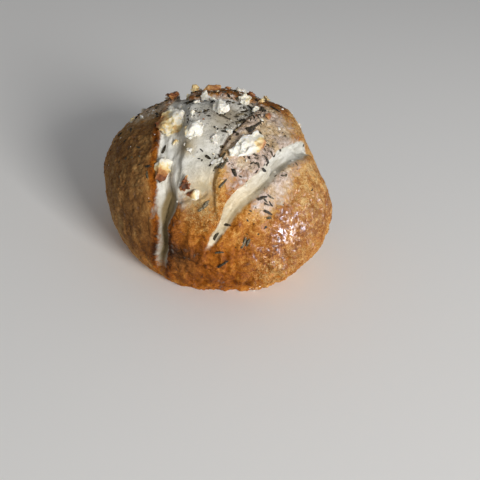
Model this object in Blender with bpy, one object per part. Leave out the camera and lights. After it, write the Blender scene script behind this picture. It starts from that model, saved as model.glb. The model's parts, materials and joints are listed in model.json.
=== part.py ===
"""Feta rosemary roll: a round, slashed bread roll with crumbled feta and dried rosemary baked on its crown.

Metres, +Z up. The roll stands on its flat base at z = 0, and the shown side faces -Y. Its form is measured
outwards from one point inside it, the heart. Each slash is the trace of one straight cut with a blade.
"""

import math
import random
from dataclasses import dataclass

import bmesh
import bpy
import numpy as np
from mathutils import Matrix, Vector, noise

MM = 0.001

# Driving sizes of the loaf
HEART = np.array((0.0, 0.0, 36 * MM))
GIRTH_ACROSS = 56 * MM
GIRTH_DEEP = 56 * MM
CROWN_RISE = 45.7 * MM
KEEL_DROP = 47.5 * MM
CROWN_POWER = 2.05
KEEL_POWER = 2.35
BASE_EDGE_ROUND = 2 * MM

# Where the dough swelled or stayed back: azimuth, elevation and spread in degrees, then the height
SWELLS = (
    (-153, -12, 30, -1.0 * MM),
    (172, 12, 26, 1.9 * MM),
    (-18, 0, 26, 2.6 * MM),
    (-42, -24, 28, 3.3 * MM),
    (22, 28, 26, -5.1 * MM),
    (0, 18, 14, -5.0 * MM),
    (14, 50, 18, 4.4 * MM),
    (52, 60, 18, -2.3 * MM),
    (160, 45, 28, -2.0 * MM),
    (90, 60, 30, 0.8 * MM),
)
LUMP_SIZE, LUMP_HEIGHT = 22 * MM, 1.0 * MM
DIMPLE_SIZE, DIMPLE_HEIGHT = 8 * MM, 0.35 * MM

# The crust's edge at a slash, and how far the dough on both sides leans into it
CRUST_STEP = 1.3 * MM
CRUST_STEP_RUN = 1.1 * MM
FLOOR_BOW = 1.25  # over 1, the dough swells between a slash's edge and its deepest line
WANDERS = ((17 * MM, 1.6 * MM), (6 * MM, 0.7 * MM))  # size and reach of the edges' wander
LIP_HEIGHT, LIP_REACH = 0.8 * MM, 2.2 * MM
LEAN_DEPTH, LEAN_REACH = 1.3 * MM, 9 * MM
OPEN_DEPTH = 1.5 * MM  # a slash this deep stands fully open

# The pale dough that burst open over the crown, between the left slash and the tear
BURST_LEFT_REACH = 6.5 * MM
BURST_BACK = 8 * MM
BURST_RIGHT = 17.5 * MM
BURST_FRONT_HEIGHT = 60 * MM
BURST_FRONT_SLOPE = 0.45
BURST_CORNER = 4 * MM
BURST_VALLEY, BURST_VALLEY_AT = 1.0 * MM, 3 * MM
BURST_RISE, BURST_RISE_FROM, BURST_RISE_TO = 1.6 * MM, 5 * MM, 13 * MM
BLISTER = (-98, 34, 6.5, 1.6 * MM)  # azimuth, elevation, spread and height of the bare dough's bulge

# Meshing
DENSE_SUBDIVISIONS = 8
CORE_TRIANGLES = 6600
SEAT_GAP = 0.35 * MM
SHARP_ANGLE = 40
WELD = 0.002 * MM
BOARD_REACH = 0.05 * MM
LEVEL_GUARD = 0.05  # keeps level directions from meeting the board far away
SEED = 4


@dataclass
class Slash:
    """One straight cut. Stations are (angle in the blade's plane, width below, width above, depth)."""

    normal: tuple
    offset: float
    stations: tuple

    def axes(self):
        normal = np.array(self.normal) / np.linalg.norm(self.normal)
        level = np.cross((0, 0, 1), normal)
        level /= np.linalg.norm(level)
        return normal, level, np.cross(normal, level)

    def measure(self, points):
        """Signed distance from the cut's plane, width on that side, and depth there."""
        normal, level, rising = self.axes()
        foot = HEART + (self.offset - normal @ HEART) * normal
        across = points @ normal - self.offset
        reach = points - foot
        angle = np.degrees(np.arctan2(reach @ rising, reach @ level))
        angle = np.where(angle < WRAP_ANGLE, angle + 360, angle)
        stations = np.array(self.stations)
        below, above, depth = (np.interp(angle, stations[:, 0], stations[:, k], 0, 0) for k in (1, 2, 3))
        return across, np.where(across < 0, below, above), depth


WRAP_ANGLE = -60  # degrees where a slash's angles start again, clear of every slash
LEFT_SLASH = Slash(
    (1, -0.02, -0.04),
    -24 * MM,
    (
        (14, 0.4 * MM, 0.4 * MM, 0.3 * MM),
        (40, 2.5 * MM, 3.0 * MM, 1.8 * MM),
        (76, 5.0 * MM, 4.0 * MM, 1.4 * MM),
        (118, 6.8 * MM, 4.6 * MM, 1.8 * MM),
        (147, 7.2 * MM, 5.4 * MM, 3.6 * MM),
        (162, 6.0 * MM, 5.0 * MM, 5.0 * MM),
        (177, 3.4 * MM, 2.4 * MM, 5.0 * MM),
        (190, 2.4 * MM, 2.4 * MM, 4.2 * MM),
        (205, 2.2 * MM, 3.0 * MM, 2.6 * MM),
        (222, 0.6 * MM, 0.8 * MM, 0.3 * MM),
    ),
)
RIGHT_SLASH = Slash(
    (-0.775, 0.516, 0.364),
    -14.8 * MM,
    (
        (8, 0.3 * MM, 0.3 * MM, 0.2 * MM),
        (17, 1.2 * MM, 1.6 * MM, 1.4 * MM),
        (28, 1.2 * MM, 3.4 * MM, 2.4 * MM),
        (46, 1.4 * MM, 5.1 * MM, 3.4 * MM),
        (70, 1.4 * MM, 6.0 * MM, 4.0 * MM),
        (82, 2.0 * MM, 7.2 * MM, 4.4 * MM),
        (92, 1.9 * MM, 6.4 * MM, 4.2 * MM),
        (108, 1.6 * MM, 4.6 * MM, 3.6 * MM),
        (124, 1.6 * MM, 2.6 * MM, 2.4 * MM),
        (140, 0.5 * MM, 0.6 * MM, 0.3 * MM),
    ),
)
BACK_SLASH = Slash(
    (-0.72, -0.63, 0.29),
    -23.4 * MM,
    (
        (68, 0.5 * MM, 0.6 * MM, 0.3 * MM),
        (92, 1.8 * MM, 4.6 * MM, 3.4 * MM),
        (122, 2.2 * MM, 3.6 * MM, 3.4 * MM),
        (158, 1.5 * MM, 1.6 * MM, 2.0 * MM),
        (178, 0.4 * MM, 0.4 * MM, 0.3 * MM),
    ),
)
TEAR = Slash(
    (-0.755, 0.507, -0.417),
    -48 * MM,
    (
        (-2, 0.3 * MM, 0.3 * MM, 0.2 * MM),
        (12, 1.0 * MM, 0.9 * MM, 1.6 * MM),
        (45, 1.0 * MM, 1.0 * MM, 2.0 * MM),
        (72, 1.2 * MM, 1.2 * MM, 2.0 * MM),
        (98, 0.6 * MM, 0.6 * MM, 0.5 * MM),
        (108, 0.3 * MM, 0.3 * MM, 0.1 * MM),
    ),
)

# Feta pieces as large as berries: name, azimuth, elevation, heading, then length, width and height
FETA_PIECES = (
    ("feta_01", -151, 55, 118, 18.5, 14.5, 7.4),
    ("feta_02", -116, 56, 98, 13, 10, 5.8),
    ("feta_03", -97, 79, 100, 9, 8.0, 5.6),
    ("feta_04", -68, 49, 26, 19.5, 11, 6.0),
    ("feta_05", -125, 31, 100, 14, 6.5, 4.0),
    ("feta_06", 38, 74, -60, 9, 7.0, 4.4),
    ("feta_07", 139, 75, 30, 7, 6.0, 3.6),
    ("feta_08", 122, 56, 20, 7, 6.5, 4.4),
    ("feta_09", 142, 48, 40, 10.5, 8.0, 4.8),
    ("feta_10", 106, 64, 175, 9.5, 5.6, 3.6),
    ("feta_11", -108, 28, 30, 7.5, 6.5, 3.6),
    ("feta_12", -102, 24, 40, 8, 5.6, 3.2),
    ("feta_13", 75, 38, 30, 10, 8.5, 5.0),
    ("feta_14", 106, 33, -30, 9, 7.0, 4.4),
    ("feta_15", 128, 35, 10, 9, 7.5, 4.6),
)
FETA_SINK = 0.2
FETA_FOOTING = 0.35  # share of its length that each feta piece finds its lean over
FETA_TRIANGLES_PER_MM, FETA_TRIANGLES_LEAST = 11, 40
KNOBS = ((3, 0.34), (7, 0.2))  # how often a crumb's knobs come and how high they stand, against its size
BREAKS = {"feta": 6, "crumb": 4}  # flat faces where it broke
BREAK_REACH = (0.34, 0.46)  # how far out those faces lie, against its size

# Rosemary and small crumbs where they show: azimuth, elevation, heading, length
NEEDLES_SHOWN = (
    (-85, -8, 43, 6.4),
    (-87, -2, 5, 4.2),
    (-89, 5, 62, 4.2),
    (-84, 11, 4, 4.8),
    (-96, 19, 42, 5.6),
    (-95, 21, 50, 4.0),
    (-87, 31, 50, 5.4),
    (-76, 3, 71, 6.0),
    (-74, 3, 66, 4.6),
    (-133, 41, 106, 4.6),
    (-87, 40, 61, 6.0),
    (-80, 36, -74, 3.8),
    (-88, 72, -13, 5.2),
    (-57, 69, 8, 5.6),
    (-44, 62, 10, 6.6),
    (-47, 54, -85, 5.4),
    (-60, 43, -16, 4.4),
    (0, 71, 35, 6.4),
    (-60, 36, -36, 3.0),
    (-130, 26, 121, 4.4),
    (-66, 23, 10, 5.0),
    (-64, 16, -35, 4.6),
)
CRUMBS_SHOWN = (
    (-95, 55, 5.8),
    (-90, 41, 5.8),
    (-163, 55, 4.6),
    (-80, 61, 4.4),
    (88, 63, 5.4),
    (38, 56, 5.6),
    (152, 45, 4.6),
    (-135, 66, 4.2),
    (-112, 45, 3.6),
    (-128, 47, 4.0),
    (170, 62, 4.4),
    (-20, 62, 4.0),
)
NEEDLES_SCATTERED, NEEDLE_LENGTHS = 56, (3.8, 7.0)
CRUMBS_SCATTERED, CRUMB_SIZES = 40, (2.6, 4.6)
NEEDLE_WIDTH, NEEDLE_FLATNESS, NEEDLE_TIP, NEEDLE_SIDES = 1.25 * MM, 0.8, 0.4, 5
NEEDLE_SINK = 0.3
CRUMB_SINK = 0.25
CRUMB_BREADTH, CRUMB_FLATNESS = 0.85, 0.65
LARGE_CRUMB = 4.3
TOPPING_FOOTING = 1.5 * MM
SCATTER_ELEVATIONS = (26, 88)
SHOWN_AZIMUTHS, SHOWN_BELOW = (-165, 15), 58  # the front, where only the listed ones lie
GOLDEN_ANGLE = 137.508
CLEARANCE = 0.6 * MM


def clear_scene():
    for thing in list(bpy.data.objects):
        bpy.data.objects.remove(thing, do_unlink=True)


def new_collection(name):
    collection = bpy.data.collections.new(name)
    bpy.context.scene.collection.children.link(collection)
    return collection


def material(name, colour, roughness):
    made = bpy.data.materials.new(name)
    made.use_nodes = True
    shader = made.node_tree.nodes["Principled BSDF"]
    shader.inputs["Base Color"].default_value = (*colour, 1)
    shader.inputs["Roughness"].default_value = roughness
    shader.inputs["Metallic"].default_value = 0
    return made


def smooth_step(value, low, high):
    share = np.clip((value - low) / (high - low), 0, 1)
    return share * share * (3 - 2 * share)


def smooth_min(a, b, blend):
    share = np.clip(0.5 + 0.5 * (b - a) / blend, 0, 1)
    return b * (1 - share) + a * share - blend * share * (1 - share)


def towards(azimuth, elevation):
    """Unit vector from the heart at an azimuth and elevation in degrees."""
    azimuth, elevation = math.radians(azimuth), math.radians(elevation)
    level = math.cos(elevation)
    return np.array((level * math.cos(azimuth), level * math.sin(azimuth), math.sin(elevation)))


def swell(directions, azimuth, elevation, spread, height):
    angle = np.arccos(np.clip(directions @ towards(azimuth, elevation), -1, 1))
    return height * np.exp(-((angle / math.radians(spread)) ** 2))


def lumps(points, size, height):
    return height * np.array([noise.noise(Vector(p / size)) for p in points])


def wander(points):
    """The points shifted a little, so that what is measured from them runs unevenly, as torn dough does."""
    noise.seed_set(SEED)  # without a seed, noise_vector differs from run to run
    wandered = points.copy()
    for size, reach in WANDERS:
        wandered += reach * np.array([noise.noise_vector(Vector(p / size)) for p in points])
    return wandered


def proofed_radius(directions):
    """The risen dough before it opens: a dome over a tucked-in keel, with its swells."""
    level = np.hypot(directions[:, 0], directions[:, 1])
    azimuth = np.arctan2(directions[:, 1], directions[:, 0])
    girth = np.hypot(np.cos(azimuth) / GIRTH_ACROSS, np.sin(azimuth) / GIRTH_DEEP)

    def half(rise, power):
        return ((level * girth) ** power + np.abs(directions[:, 2] / rise) ** power) ** (-1 / power)

    upper, lower = half(CROWN_RISE, CROWN_POWER), half(KEEL_DROP, KEEL_POWER)
    radius = np.where(directions[:, 2] >= 0, upper, lower)
    return radius + sum(swell(directions, *entry) for entry in SWELLS)


def slash_relief(points, slash):
    """Height change of an opened slash: crust step, floor, raised lips and the lean of both sides."""
    across, width, depth = slash.measure(points)
    inside = width - np.abs(across)
    open_share = smooth_step(depth, 0, OPEN_DEPTH)
    step = np.minimum(CRUST_STEP, depth)
    floor = (depth - step) * np.clip(inside / np.maximum(width, WELD), 0, 1) ** FLOOR_BOW
    cut = step * smooth_step(inside, -CRUST_STEP_RUN / 2, CRUST_STEP_RUN / 2) + floor
    lip = LIP_HEIGHT * np.exp(-(((inside + LIP_REACH) / LIP_REACH) ** 2))
    lean = LEAN_DEPTH * np.exp(-((across / LEAN_REACH) ** 2))
    return open_share * (lip - lean) - cut


def burst_inside(points):
    """Distance in from the edge of the bare dough over the crown, negative outside it."""
    left = LEFT_SLASH.measure(points)[0] + BURST_LEFT_REACH
    right = TEAR.measure(points)[0]
    front_height = BURST_FRONT_HEIGHT + BURST_FRONT_SLOPE * points[:, 0]
    front = (points[:, 2] - front_height) / math.hypot(1, BURST_FRONT_SLOPE)
    inside = smooth_min(left, right, BURST_CORNER)
    for side in (front, BURST_BACK - points[:, 1], BURST_RIGHT - points[:, 0]):
        inside = smooth_min(inside, side, BURST_CORNER)
    return inside


def burst_relief(points, directions):
    inside = burst_inside(points)
    step = CRUST_STEP * smooth_step(inside, -CRUST_STEP_RUN / 2, CRUST_STEP_RUN / 2)
    valley = BURST_VALLEY * np.exp(-(((inside - BURST_VALLEY_AT) / BURST_VALLEY_AT) ** 2))
    rise = BURST_RISE * smooth_step(inside, BURST_RISE_FROM, BURST_RISE_TO)
    return rise - step - valley + swell(directions, *BLISTER)


def roll_points(directions):
    """Points of the crust in the given directions from the heart."""
    radius = proofed_radius(directions)
    whole = HEART + directions * radius[:, None]
    radius = radius + lumps(whole, LUMP_SIZE, LUMP_HEIGHT) + lumps(whole, DIMPLE_SIZE, DIMPLE_HEIGHT)
    uneven = wander(whole)
    reliefs = [slash_relief(uneven, slash) for slash in (LEFT_SLASH, RIGHT_SLASH, BACK_SLASH, TEAR)]
    reliefs.append(burst_relief(uneven, directions))
    radius = radius + np.minimum.reduce(reliefs) + np.maximum(np.maximum.reduce(reliefs), 0)
    board = HEART[2] / np.maximum(-directions[:, 2], LEVEL_GUARD)
    radius = np.where(directions[:, 2] < 0, smooth_min(radius, board, BASE_EDGE_ROUND), radius)
    return HEART + directions * radius[:, None]


def object_from(name, shape, collection, finish):
    """A new object that holds a bmesh, which is then freed."""
    mesh = bpy.data.meshes.new(name)
    shape.to_mesh(mesh)
    shape.free()
    mesh.materials.append(finish)
    mesh.shade_smooth()
    mesh.set_sharp_from_angle(angle=math.radians(SHARP_ANGLE))
    made = bpy.data.objects.new(name, mesh)
    collection.objects.link(made)
    return made


def apply_modifiers(thing):
    """Replaces the object's mesh by the one that its modifiers make."""
    bpy.context.view_layer.update()
    evaluated = thing.evaluated_get(bpy.context.evaluated_depsgraph_get())
    mesh = bpy.data.meshes.new_from_object(evaluated)
    thing.modifiers.clear()
    thing.data = mesh


def thin_out(thing, triangles):
    decimate = thing.modifiers.new("thin_out", "DECIMATE")
    decimate.ratio = triangles / len(thing.data.polygons)
    decimate.use_collapse_triangulate = True
    apply_modifiers(thing)


def join(thing, collection):
    union = thing.modifiers.new("join", "BOOLEAN")
    union.operation = "UNION"
    union.operand_type = "COLLECTION"
    union.collection = collection
    union.solver = "EXACT"
    apply_modifiers(thing)
    for part in list(collection.objects):
        bpy.data.objects.remove(part, do_unlink=True)
    bpy.data.collections.remove(collection)


def keep_largest_body(thing):
    """Drops loose scraps and fills hollows that the union sealed, by keeping the largest body."""
    shape = bmesh.new()
    shape.from_mesh(thing.data)
    bmesh.ops.remove_doubles(shape, verts=shape.verts, dist=WELD)
    bmesh.ops.dissolve_degenerate(shape, edges=shape.edges, dist=WELD)
    unseen, bodies = set(shape.verts), []
    while unseen:
        front, body = [unseen.pop()], []
        while front:
            corner = front.pop()
            body.append(corner)
            near = {edge.other_vert(corner) for edge in corner.link_edges} & unseen
            unseen -= near
            front.extend(near)
        bodies.append(body)
    bodies.sort(key=len)
    for scrap in bodies[:-1]:
        bmesh.ops.delete(shape, geom=scrap, context="VERTS")
    bmesh.ops.triangulate(shape, faces=shape.faces)
    shape.to_mesh(thing.data)
    shape.free()


def level_base(thing):
    """Sets the corners that rest on the board exactly on it."""
    for corner in thing.data.vertices:
        if corner.co.z < BOARD_REACH:
            corner.co.z = 0


def roll_core(collection, finish):
    shape = bmesh.new()
    bmesh.ops.create_icosphere(shape, subdivisions=DENSE_SUBDIVISIONS, radius=1)
    directions = np.array([corner.co.normalized()[:] for corner in shape.verts])
    for corner, place in zip(shape.verts, roll_points(directions)):
        corner.co = place
    roll = object_from("roll", shape, collection, finish)
    thin_out(roll, CORE_TRIANGLES)
    level_base(roll)
    return roll


def seat(azimuth, elevation, heading, footing):
    """Frame on the crust: x along the heading, z out of the crust as it lies over the footing's reach."""
    out = towards(azimuth, elevation)
    east = np.array((-math.sin(math.radians(azimuth)), math.cos(math.radians(azimuth)), 0))
    north = np.cross(out, east)
    span = footing / CROWN_RISE
    ways = np.array((out, out + span * east, out - span * east, out + span * north, out - span * north))
    place, right, left, upper, lower = roll_points(ways / np.linalg.norm(ways, axis=1)[:, None])
    normal = Vector(np.cross(right - left, upper - lower)).normalized()
    north = normal.cross(Vector(right - left)).normalized()
    east = north.cross(normal)
    along = east * math.cos(math.radians(heading)) + north * math.sin(math.radians(heading))
    return Matrix.Translation(place) @ Matrix((along, normal.cross(along), normal)).transposed().to_4x4()


def lump_shape(subdivisions, sizes, breaks, draw):
    """A broken crumb: a knobbly lump with a few flat faces, about the origin, of the given sizes."""
    shape = bmesh.new()
    bmesh.ops.create_icosphere(shape, subdivisions=subdivisions, radius=0.5)
    planes = []
    for _ in range(breaks):
        facing = Vector((draw.gauss(0, 1), draw.gauss(0, 1), draw.gauss(0, 1))).normalized()
        planes.append((facing, draw.uniform(*BREAK_REACH)))
    shift = Vector((draw.uniform(0, 50), draw.uniform(0, 50), draw.uniform(0, 50)))
    for corner in shape.verts:
        knobs = sum(share * noise.noise(corner.co * often + shift) for often, share in KNOBS)
        place = corner.co * (1 + knobs)
        for facing, reach in planes:
            place = place - facing * max(place.dot(facing) - reach, 0)
        corner.co = place
    for axis, size in enumerate(sizes):
        low = min(corner.co[axis] for corner in shape.verts)
        high = max(corner.co[axis] for corner in shape.verts)
        for corner in shape.verts:
            corner.co[axis] = size * ((corner.co[axis] - low) / (high - low) - 0.5)
    return shape


def feta_seat(azimuth, elevation, heading, length):
    return seat(azimuth, elevation, heading, length * MM * FETA_FOOTING)


def feta_piece(name, azimuth, elevation, heading, sizes, collection, finish, draw):
    length, _, height = sizes
    shape = lump_shape(4, [size * MM for size in sizes], BREAKS["feta"], draw)
    piece = object_from(name, shape, collection, finish)
    lift = Matrix.Translation((0, 0, height * MM * (0.5 - FETA_SINK)))
    piece.matrix_world = feta_seat(azimuth, elevation, heading, length) @ lift
    thin_out(piece, length * FETA_TRIANGLES_PER_MM + FETA_TRIANGLES_LEAST)
    return piece


def pocket_cutter(roll, collection):
    """The roll grown by the seat gap: what a feta piece loses where it lies on the crust."""
    cutter = bpy.data.objects.new("seat_cutter", roll.data.copy())
    collection.objects.link(cutter)
    for corner in cutter.data.vertices:
        corner.co += corner.normal * SEAT_GAP
    cutter.hide_render = True
    cutter.display_type = "WIRE"
    return cutter


def cut_seat(piece, cutter):
    cut = piece.modifiers.new("seat", "BOOLEAN")
    cut.operation = "DIFFERENCE"
    cut.object = cutter
    cut.solver = "EXACT"
    apply_modifiers(piece)
    keep_largest_body(piece)


def needle_shape(length):
    """A dried rosemary leaf: long, thin, a little flat and narrower at one end."""
    shape = bmesh.new()
    thick = NEEDLE_WIDTH / 2
    bmesh.ops.create_cone(
        shape, segments=NEEDLE_SIDES, radius1=thick, radius2=thick * NEEDLE_TIP, depth=length, cap_ends=True
    )
    shape.transform(Matrix.Diagonal((1, 1, NEEDLE_FLATNESS, 1)) @ Matrix.Rotation(math.pi / 2, 4, "Y"))
    return shape


def clear_of_feta(place, reach):
    """Whether a small topping that reaches this far lies outside every feta piece's outline."""
    for _, azimuth, elevation, heading, length, width, _ in FETA_PIECES:
        offset = feta_seat(azimuth, elevation, heading, length).inverted() @ place
        long_reach, wide_reach = length * MM / 2 + reach, width * MM / 2 + reach
        if math.hypot(offset.x / long_reach, offset.y / wide_reach, offset.z / long_reach) < 1:
            return False
    return True


def topping_places():
    """Kind, frame and size in millimetres: those that show, then a spread by the golden angle."""
    draw = random.Random(SEED)
    places = [("needle", *entry) for entry in NEEDLES_SHOWN]
    for azimuth, elevation, size in CRUMBS_SHOWN:
        places.append(("crumb", azimuth, elevation, draw.uniform(0, 360), size))
    low, high = (math.sin(math.radians(limit)) for limit in SCATTER_ELEVATIONS)
    count = NEEDLES_SCATTERED + CRUMBS_SCATTERED
    for index in range(count):
        kind = "needle" if index * NEEDLES_SCATTERED % count < NEEDLES_SCATTERED else "crumb"
        elevation = math.degrees(math.asin(low + (high - low) * (index + 0.5) / count))
        sizes = NEEDLE_LENGTHS if kind == "needle" else CRUMB_SIZES
        azimuth = index * GOLDEN_ANGLE % 360 - 180
        heading, size = draw.uniform(0, 360), draw.uniform(*sizes)
        if elevation > SHOWN_BELOW or not SHOWN_AZIMUTHS[0] < azimuth < SHOWN_AZIMUTHS[1]:
            places.append((kind, azimuth, elevation, heading, size))
    for kind, azimuth, elevation, heading, size in places:
        frame = seat(azimuth, elevation, heading, TOPPING_FOOTING)
        if clear_of_feta(frame.translation, size * MM / 2 + CLEARANCE):
            yield kind, frame, size


def small_toppings(finish, draw):
    """A collection of the needles and small crumbs, each sunk a little way into the crust."""
    collection = new_collection("small_toppings")
    for index, (kind, frame, size) in enumerate(topping_places()):
        if kind == "needle":
            shape = needle_shape(size * MM)
            rise = NEEDLE_WIDTH * NEEDLE_FLATNESS * (0.5 - NEEDLE_SINK)
        else:
            sizes = [size * MM * share for share in (1, CRUMB_BREADTH, CRUMB_FLATNESS)]
            shape = lump_shape(2 if size > LARGE_CRUMB else 1, sizes, BREAKS["crumb"], draw)
            rise = sizes[2] * (0.5 - CRUMB_SINK)
        shape.transform(frame @ Matrix.Translation((0, 0, rise)))
        object_from(f"{kind}_{index:03d}", shape, collection, finish)
    return collection


def main():
    clear_scene()
    loaf = new_collection("feta_rosemary_roll")
    helpers = new_collection("cutters")
    crust = material("baked_crust", (0.56, 0.29, 0.10), 0.42)
    feta = material("crumbled_feta", (0.86, 0.82, 0.70), 0.75)

    roll = roll_core(loaf, crust)
    cutter = pocket_cutter(roll, helpers)
    draw = random.Random(SEED)
    for name, azimuth, elevation, heading, *sizes in FETA_PIECES:
        piece = feta_piece(name, azimuth, elevation, heading, sizes, loaf, feta, draw)
        cut_seat(piece, cutter)
    bpy.data.objects.remove(cutter, do_unlink=True)
    join(roll, small_toppings(crust, draw))
    keep_largest_body(roll)


main()
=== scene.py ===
"""Looks of the feta rosemary roll: a round slashed roll with feta and dried rosemary baked on its crown.

Metres, +Z up. The roll rests on its flat base at z = 0, and its shown side faces -Y. Each section is one
piece or group of like pieces, in the order in which the roll is made: loaf, feta, small toppings, strewn
bits, then the studio.
"""

import json
import math
import random
from dataclasses import dataclass

import bmesh
import bpy
import numpy as np
from mathutils import Matrix, Vector, noise

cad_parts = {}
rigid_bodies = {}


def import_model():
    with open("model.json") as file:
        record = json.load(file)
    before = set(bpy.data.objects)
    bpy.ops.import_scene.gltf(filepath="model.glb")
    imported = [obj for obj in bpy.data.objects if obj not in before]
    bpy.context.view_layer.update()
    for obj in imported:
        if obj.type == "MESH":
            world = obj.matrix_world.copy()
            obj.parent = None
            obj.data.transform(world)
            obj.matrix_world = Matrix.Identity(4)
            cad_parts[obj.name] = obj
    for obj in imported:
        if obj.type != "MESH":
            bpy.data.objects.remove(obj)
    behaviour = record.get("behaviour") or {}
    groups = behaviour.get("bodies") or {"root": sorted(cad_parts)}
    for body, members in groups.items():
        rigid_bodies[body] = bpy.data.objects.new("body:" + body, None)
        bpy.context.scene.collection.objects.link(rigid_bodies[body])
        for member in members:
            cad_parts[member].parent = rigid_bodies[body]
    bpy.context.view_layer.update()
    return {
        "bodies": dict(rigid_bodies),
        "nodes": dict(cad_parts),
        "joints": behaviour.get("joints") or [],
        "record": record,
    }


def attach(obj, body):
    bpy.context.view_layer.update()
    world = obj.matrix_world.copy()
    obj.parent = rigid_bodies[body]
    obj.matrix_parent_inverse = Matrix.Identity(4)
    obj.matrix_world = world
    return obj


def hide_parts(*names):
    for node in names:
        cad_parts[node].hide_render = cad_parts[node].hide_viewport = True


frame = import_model()

# The loaf: white yeast dough, moulded into a round, proofed, slashed twice in front and once behind, and
# baked free-standing. The slashes opened and the dough between them burst, so pale dough shows over the
# crown beside the browned crust. Its form is measured outwards from the heart, a point inside it.
MM = 0.001
HEART = np.array((0.0, 0.0, 36 * MM))
GIRTH_ACROSS = 56 * MM
GIRTH_DEEP = 56 * MM
CROWN_RISE = 45.7 * MM
KEEL_DROP = 47.5 * MM
CROWN_POWER = 2.05
KEEL_POWER = 2.35
BASE_EDGE_ROUND = 2 * MM
LEVEL_GUARD = 0.05  # keeps level directions from meeting the board far away
BOARD_REACH = 0.05 * MM  # as near as that, a corner is laid on the board

# Where the dough swelled or stayed back: azimuth, elevation and spread in degrees, then the height
SWELLS = (
    (-153, -12, 30, -1.0 * MM),
    (172, 12, 26, 1.9 * MM),
    (-18, 0, 26, 2.6 * MM),
    (-42, -24, 28, 3.3 * MM),
    (22, 28, 26, -5.1 * MM),
    (0, 18, 14, -5.0 * MM),
    (14, 50, 18, 4.4 * MM),
    (52, 60, 18, -2.3 * MM),
    (160, 45, 28, -2.0 * MM),
    (90, 60, 30, 0.8 * MM),
)
LUMP_SIZE, LUMP_HEIGHT = 22 * MM, 1.0 * MM
DIMPLE_SIZE, DIMPLE_HEIGHT = 8 * MM, 0.35 * MM

# The crust's edge at a slash, and how far the dough on both sides leans into it
CRUST_STEP = 1.3 * MM
CRUST_STEP_RUN = 1.1 * MM
FLOOR_BOW = 1.25
WANDERS = ((17 * MM, 1.6 * MM), (6 * MM, 0.7 * MM))
WANDER_SEED = 4
LIP_HEIGHT, LIP_REACH = 0.8 * MM, 2.2 * MM
LEAN_DEPTH, LEAN_REACH = 1.3 * MM, 9 * MM
OPEN_DEPTH = 1.5 * MM
LEAST_WIDTH = 0.002 * MM

# The pale dough that burst open over the crown, between the left slash and the tear
BURST_LEFT_REACH = 6.5 * MM
BURST_BACK = 8 * MM
BURST_RIGHT = 17.5 * MM
BURST_FRONT_HEIGHT = 60 * MM
BURST_FRONT_SLOPE = 0.45
BURST_CORNER = 4 * MM
BURST_VALLEY, BURST_VALLEY_AT = 1.0 * MM, 3 * MM
BURST_RISE, BURST_RISE_FROM, BURST_RISE_TO = 1.6 * MM, 5 * MM, 13 * MM
BLISTER = (-98, 34, 6.5, 1.6 * MM)


@dataclass
class Slash:
    """One straight cut. Stations are (angle in the blade's plane, width below, width above, depth)."""

    normal: tuple
    offset: float
    stations: tuple

    def axes(self):
        normal = np.array(self.normal) / np.linalg.norm(self.normal)
        level = np.cross((0, 0, 1), normal)
        level /= np.linalg.norm(level)
        return normal, level, np.cross(normal, level)

    def measure(self, points):
        """Signed distance from the cut's plane, width on that side, depth there, and angle along the cut."""
        normal, level, rising = self.axes()
        foot = HEART + (self.offset - normal @ HEART) * normal
        across = points @ normal - self.offset
        reach = points - foot
        angle = np.degrees(np.arctan2(reach @ rising, reach @ level))
        angle = np.where(angle < WRAP_ANGLE, angle + 360, angle)
        stations = np.array(self.stations)
        below, above, depth = (np.interp(angle, stations[:, 0], column, 0, 0) for column in stations.T[1:])
        return across, np.where(across < 0, below, above), depth, angle


WRAP_ANGLE = -60  # degrees where a slash's angles start again, clear of every slash
LEFT_SLASH = Slash(
    (1, -0.02, -0.04),
    -24 * MM,
    (
        (14, 0.4 * MM, 0.4 * MM, 0.3 * MM),
        (40, 2.5 * MM, 3.0 * MM, 1.8 * MM),
        (76, 5.0 * MM, 4.0 * MM, 1.4 * MM),
        (118, 6.8 * MM, 4.6 * MM, 1.8 * MM),
        (147, 7.2 * MM, 5.4 * MM, 3.6 * MM),
        (162, 6.0 * MM, 5.0 * MM, 5.0 * MM),
        (177, 3.4 * MM, 2.4 * MM, 5.0 * MM),
        (190, 2.4 * MM, 2.4 * MM, 4.2 * MM),
        (205, 2.2 * MM, 3.0 * MM, 2.6 * MM),
        (222, 0.6 * MM, 0.8 * MM, 0.3 * MM),
    ),
)
RIGHT_SLASH = Slash(
    (-0.775, 0.516, 0.364),
    -14.8 * MM,
    (
        (8, 0.3 * MM, 0.3 * MM, 0.2 * MM),
        (17, 1.2 * MM, 1.6 * MM, 1.4 * MM),
        (28, 1.2 * MM, 3.4 * MM, 2.4 * MM),
        (46, 1.4 * MM, 5.1 * MM, 3.4 * MM),
        (70, 1.4 * MM, 6.0 * MM, 4.0 * MM),
        (82, 2.0 * MM, 7.2 * MM, 4.4 * MM),
        (92, 1.9 * MM, 6.4 * MM, 4.2 * MM),
        (108, 1.6 * MM, 4.6 * MM, 3.6 * MM),
        (124, 1.6 * MM, 2.6 * MM, 2.4 * MM),
        (140, 0.5 * MM, 0.6 * MM, 0.3 * MM),
    ),
)
BACK_SLASH = Slash(
    (-0.72, -0.63, 0.29),
    -23.4 * MM,
    (
        (68, 0.5 * MM, 0.6 * MM, 0.3 * MM),
        (92, 1.8 * MM, 4.6 * MM, 3.4 * MM),
        (122, 2.2 * MM, 3.6 * MM, 3.4 * MM),
        (158, 1.5 * MM, 1.6 * MM, 2.0 * MM),
        (178, 0.4 * MM, 0.4 * MM, 0.3 * MM),
    ),
)
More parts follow.
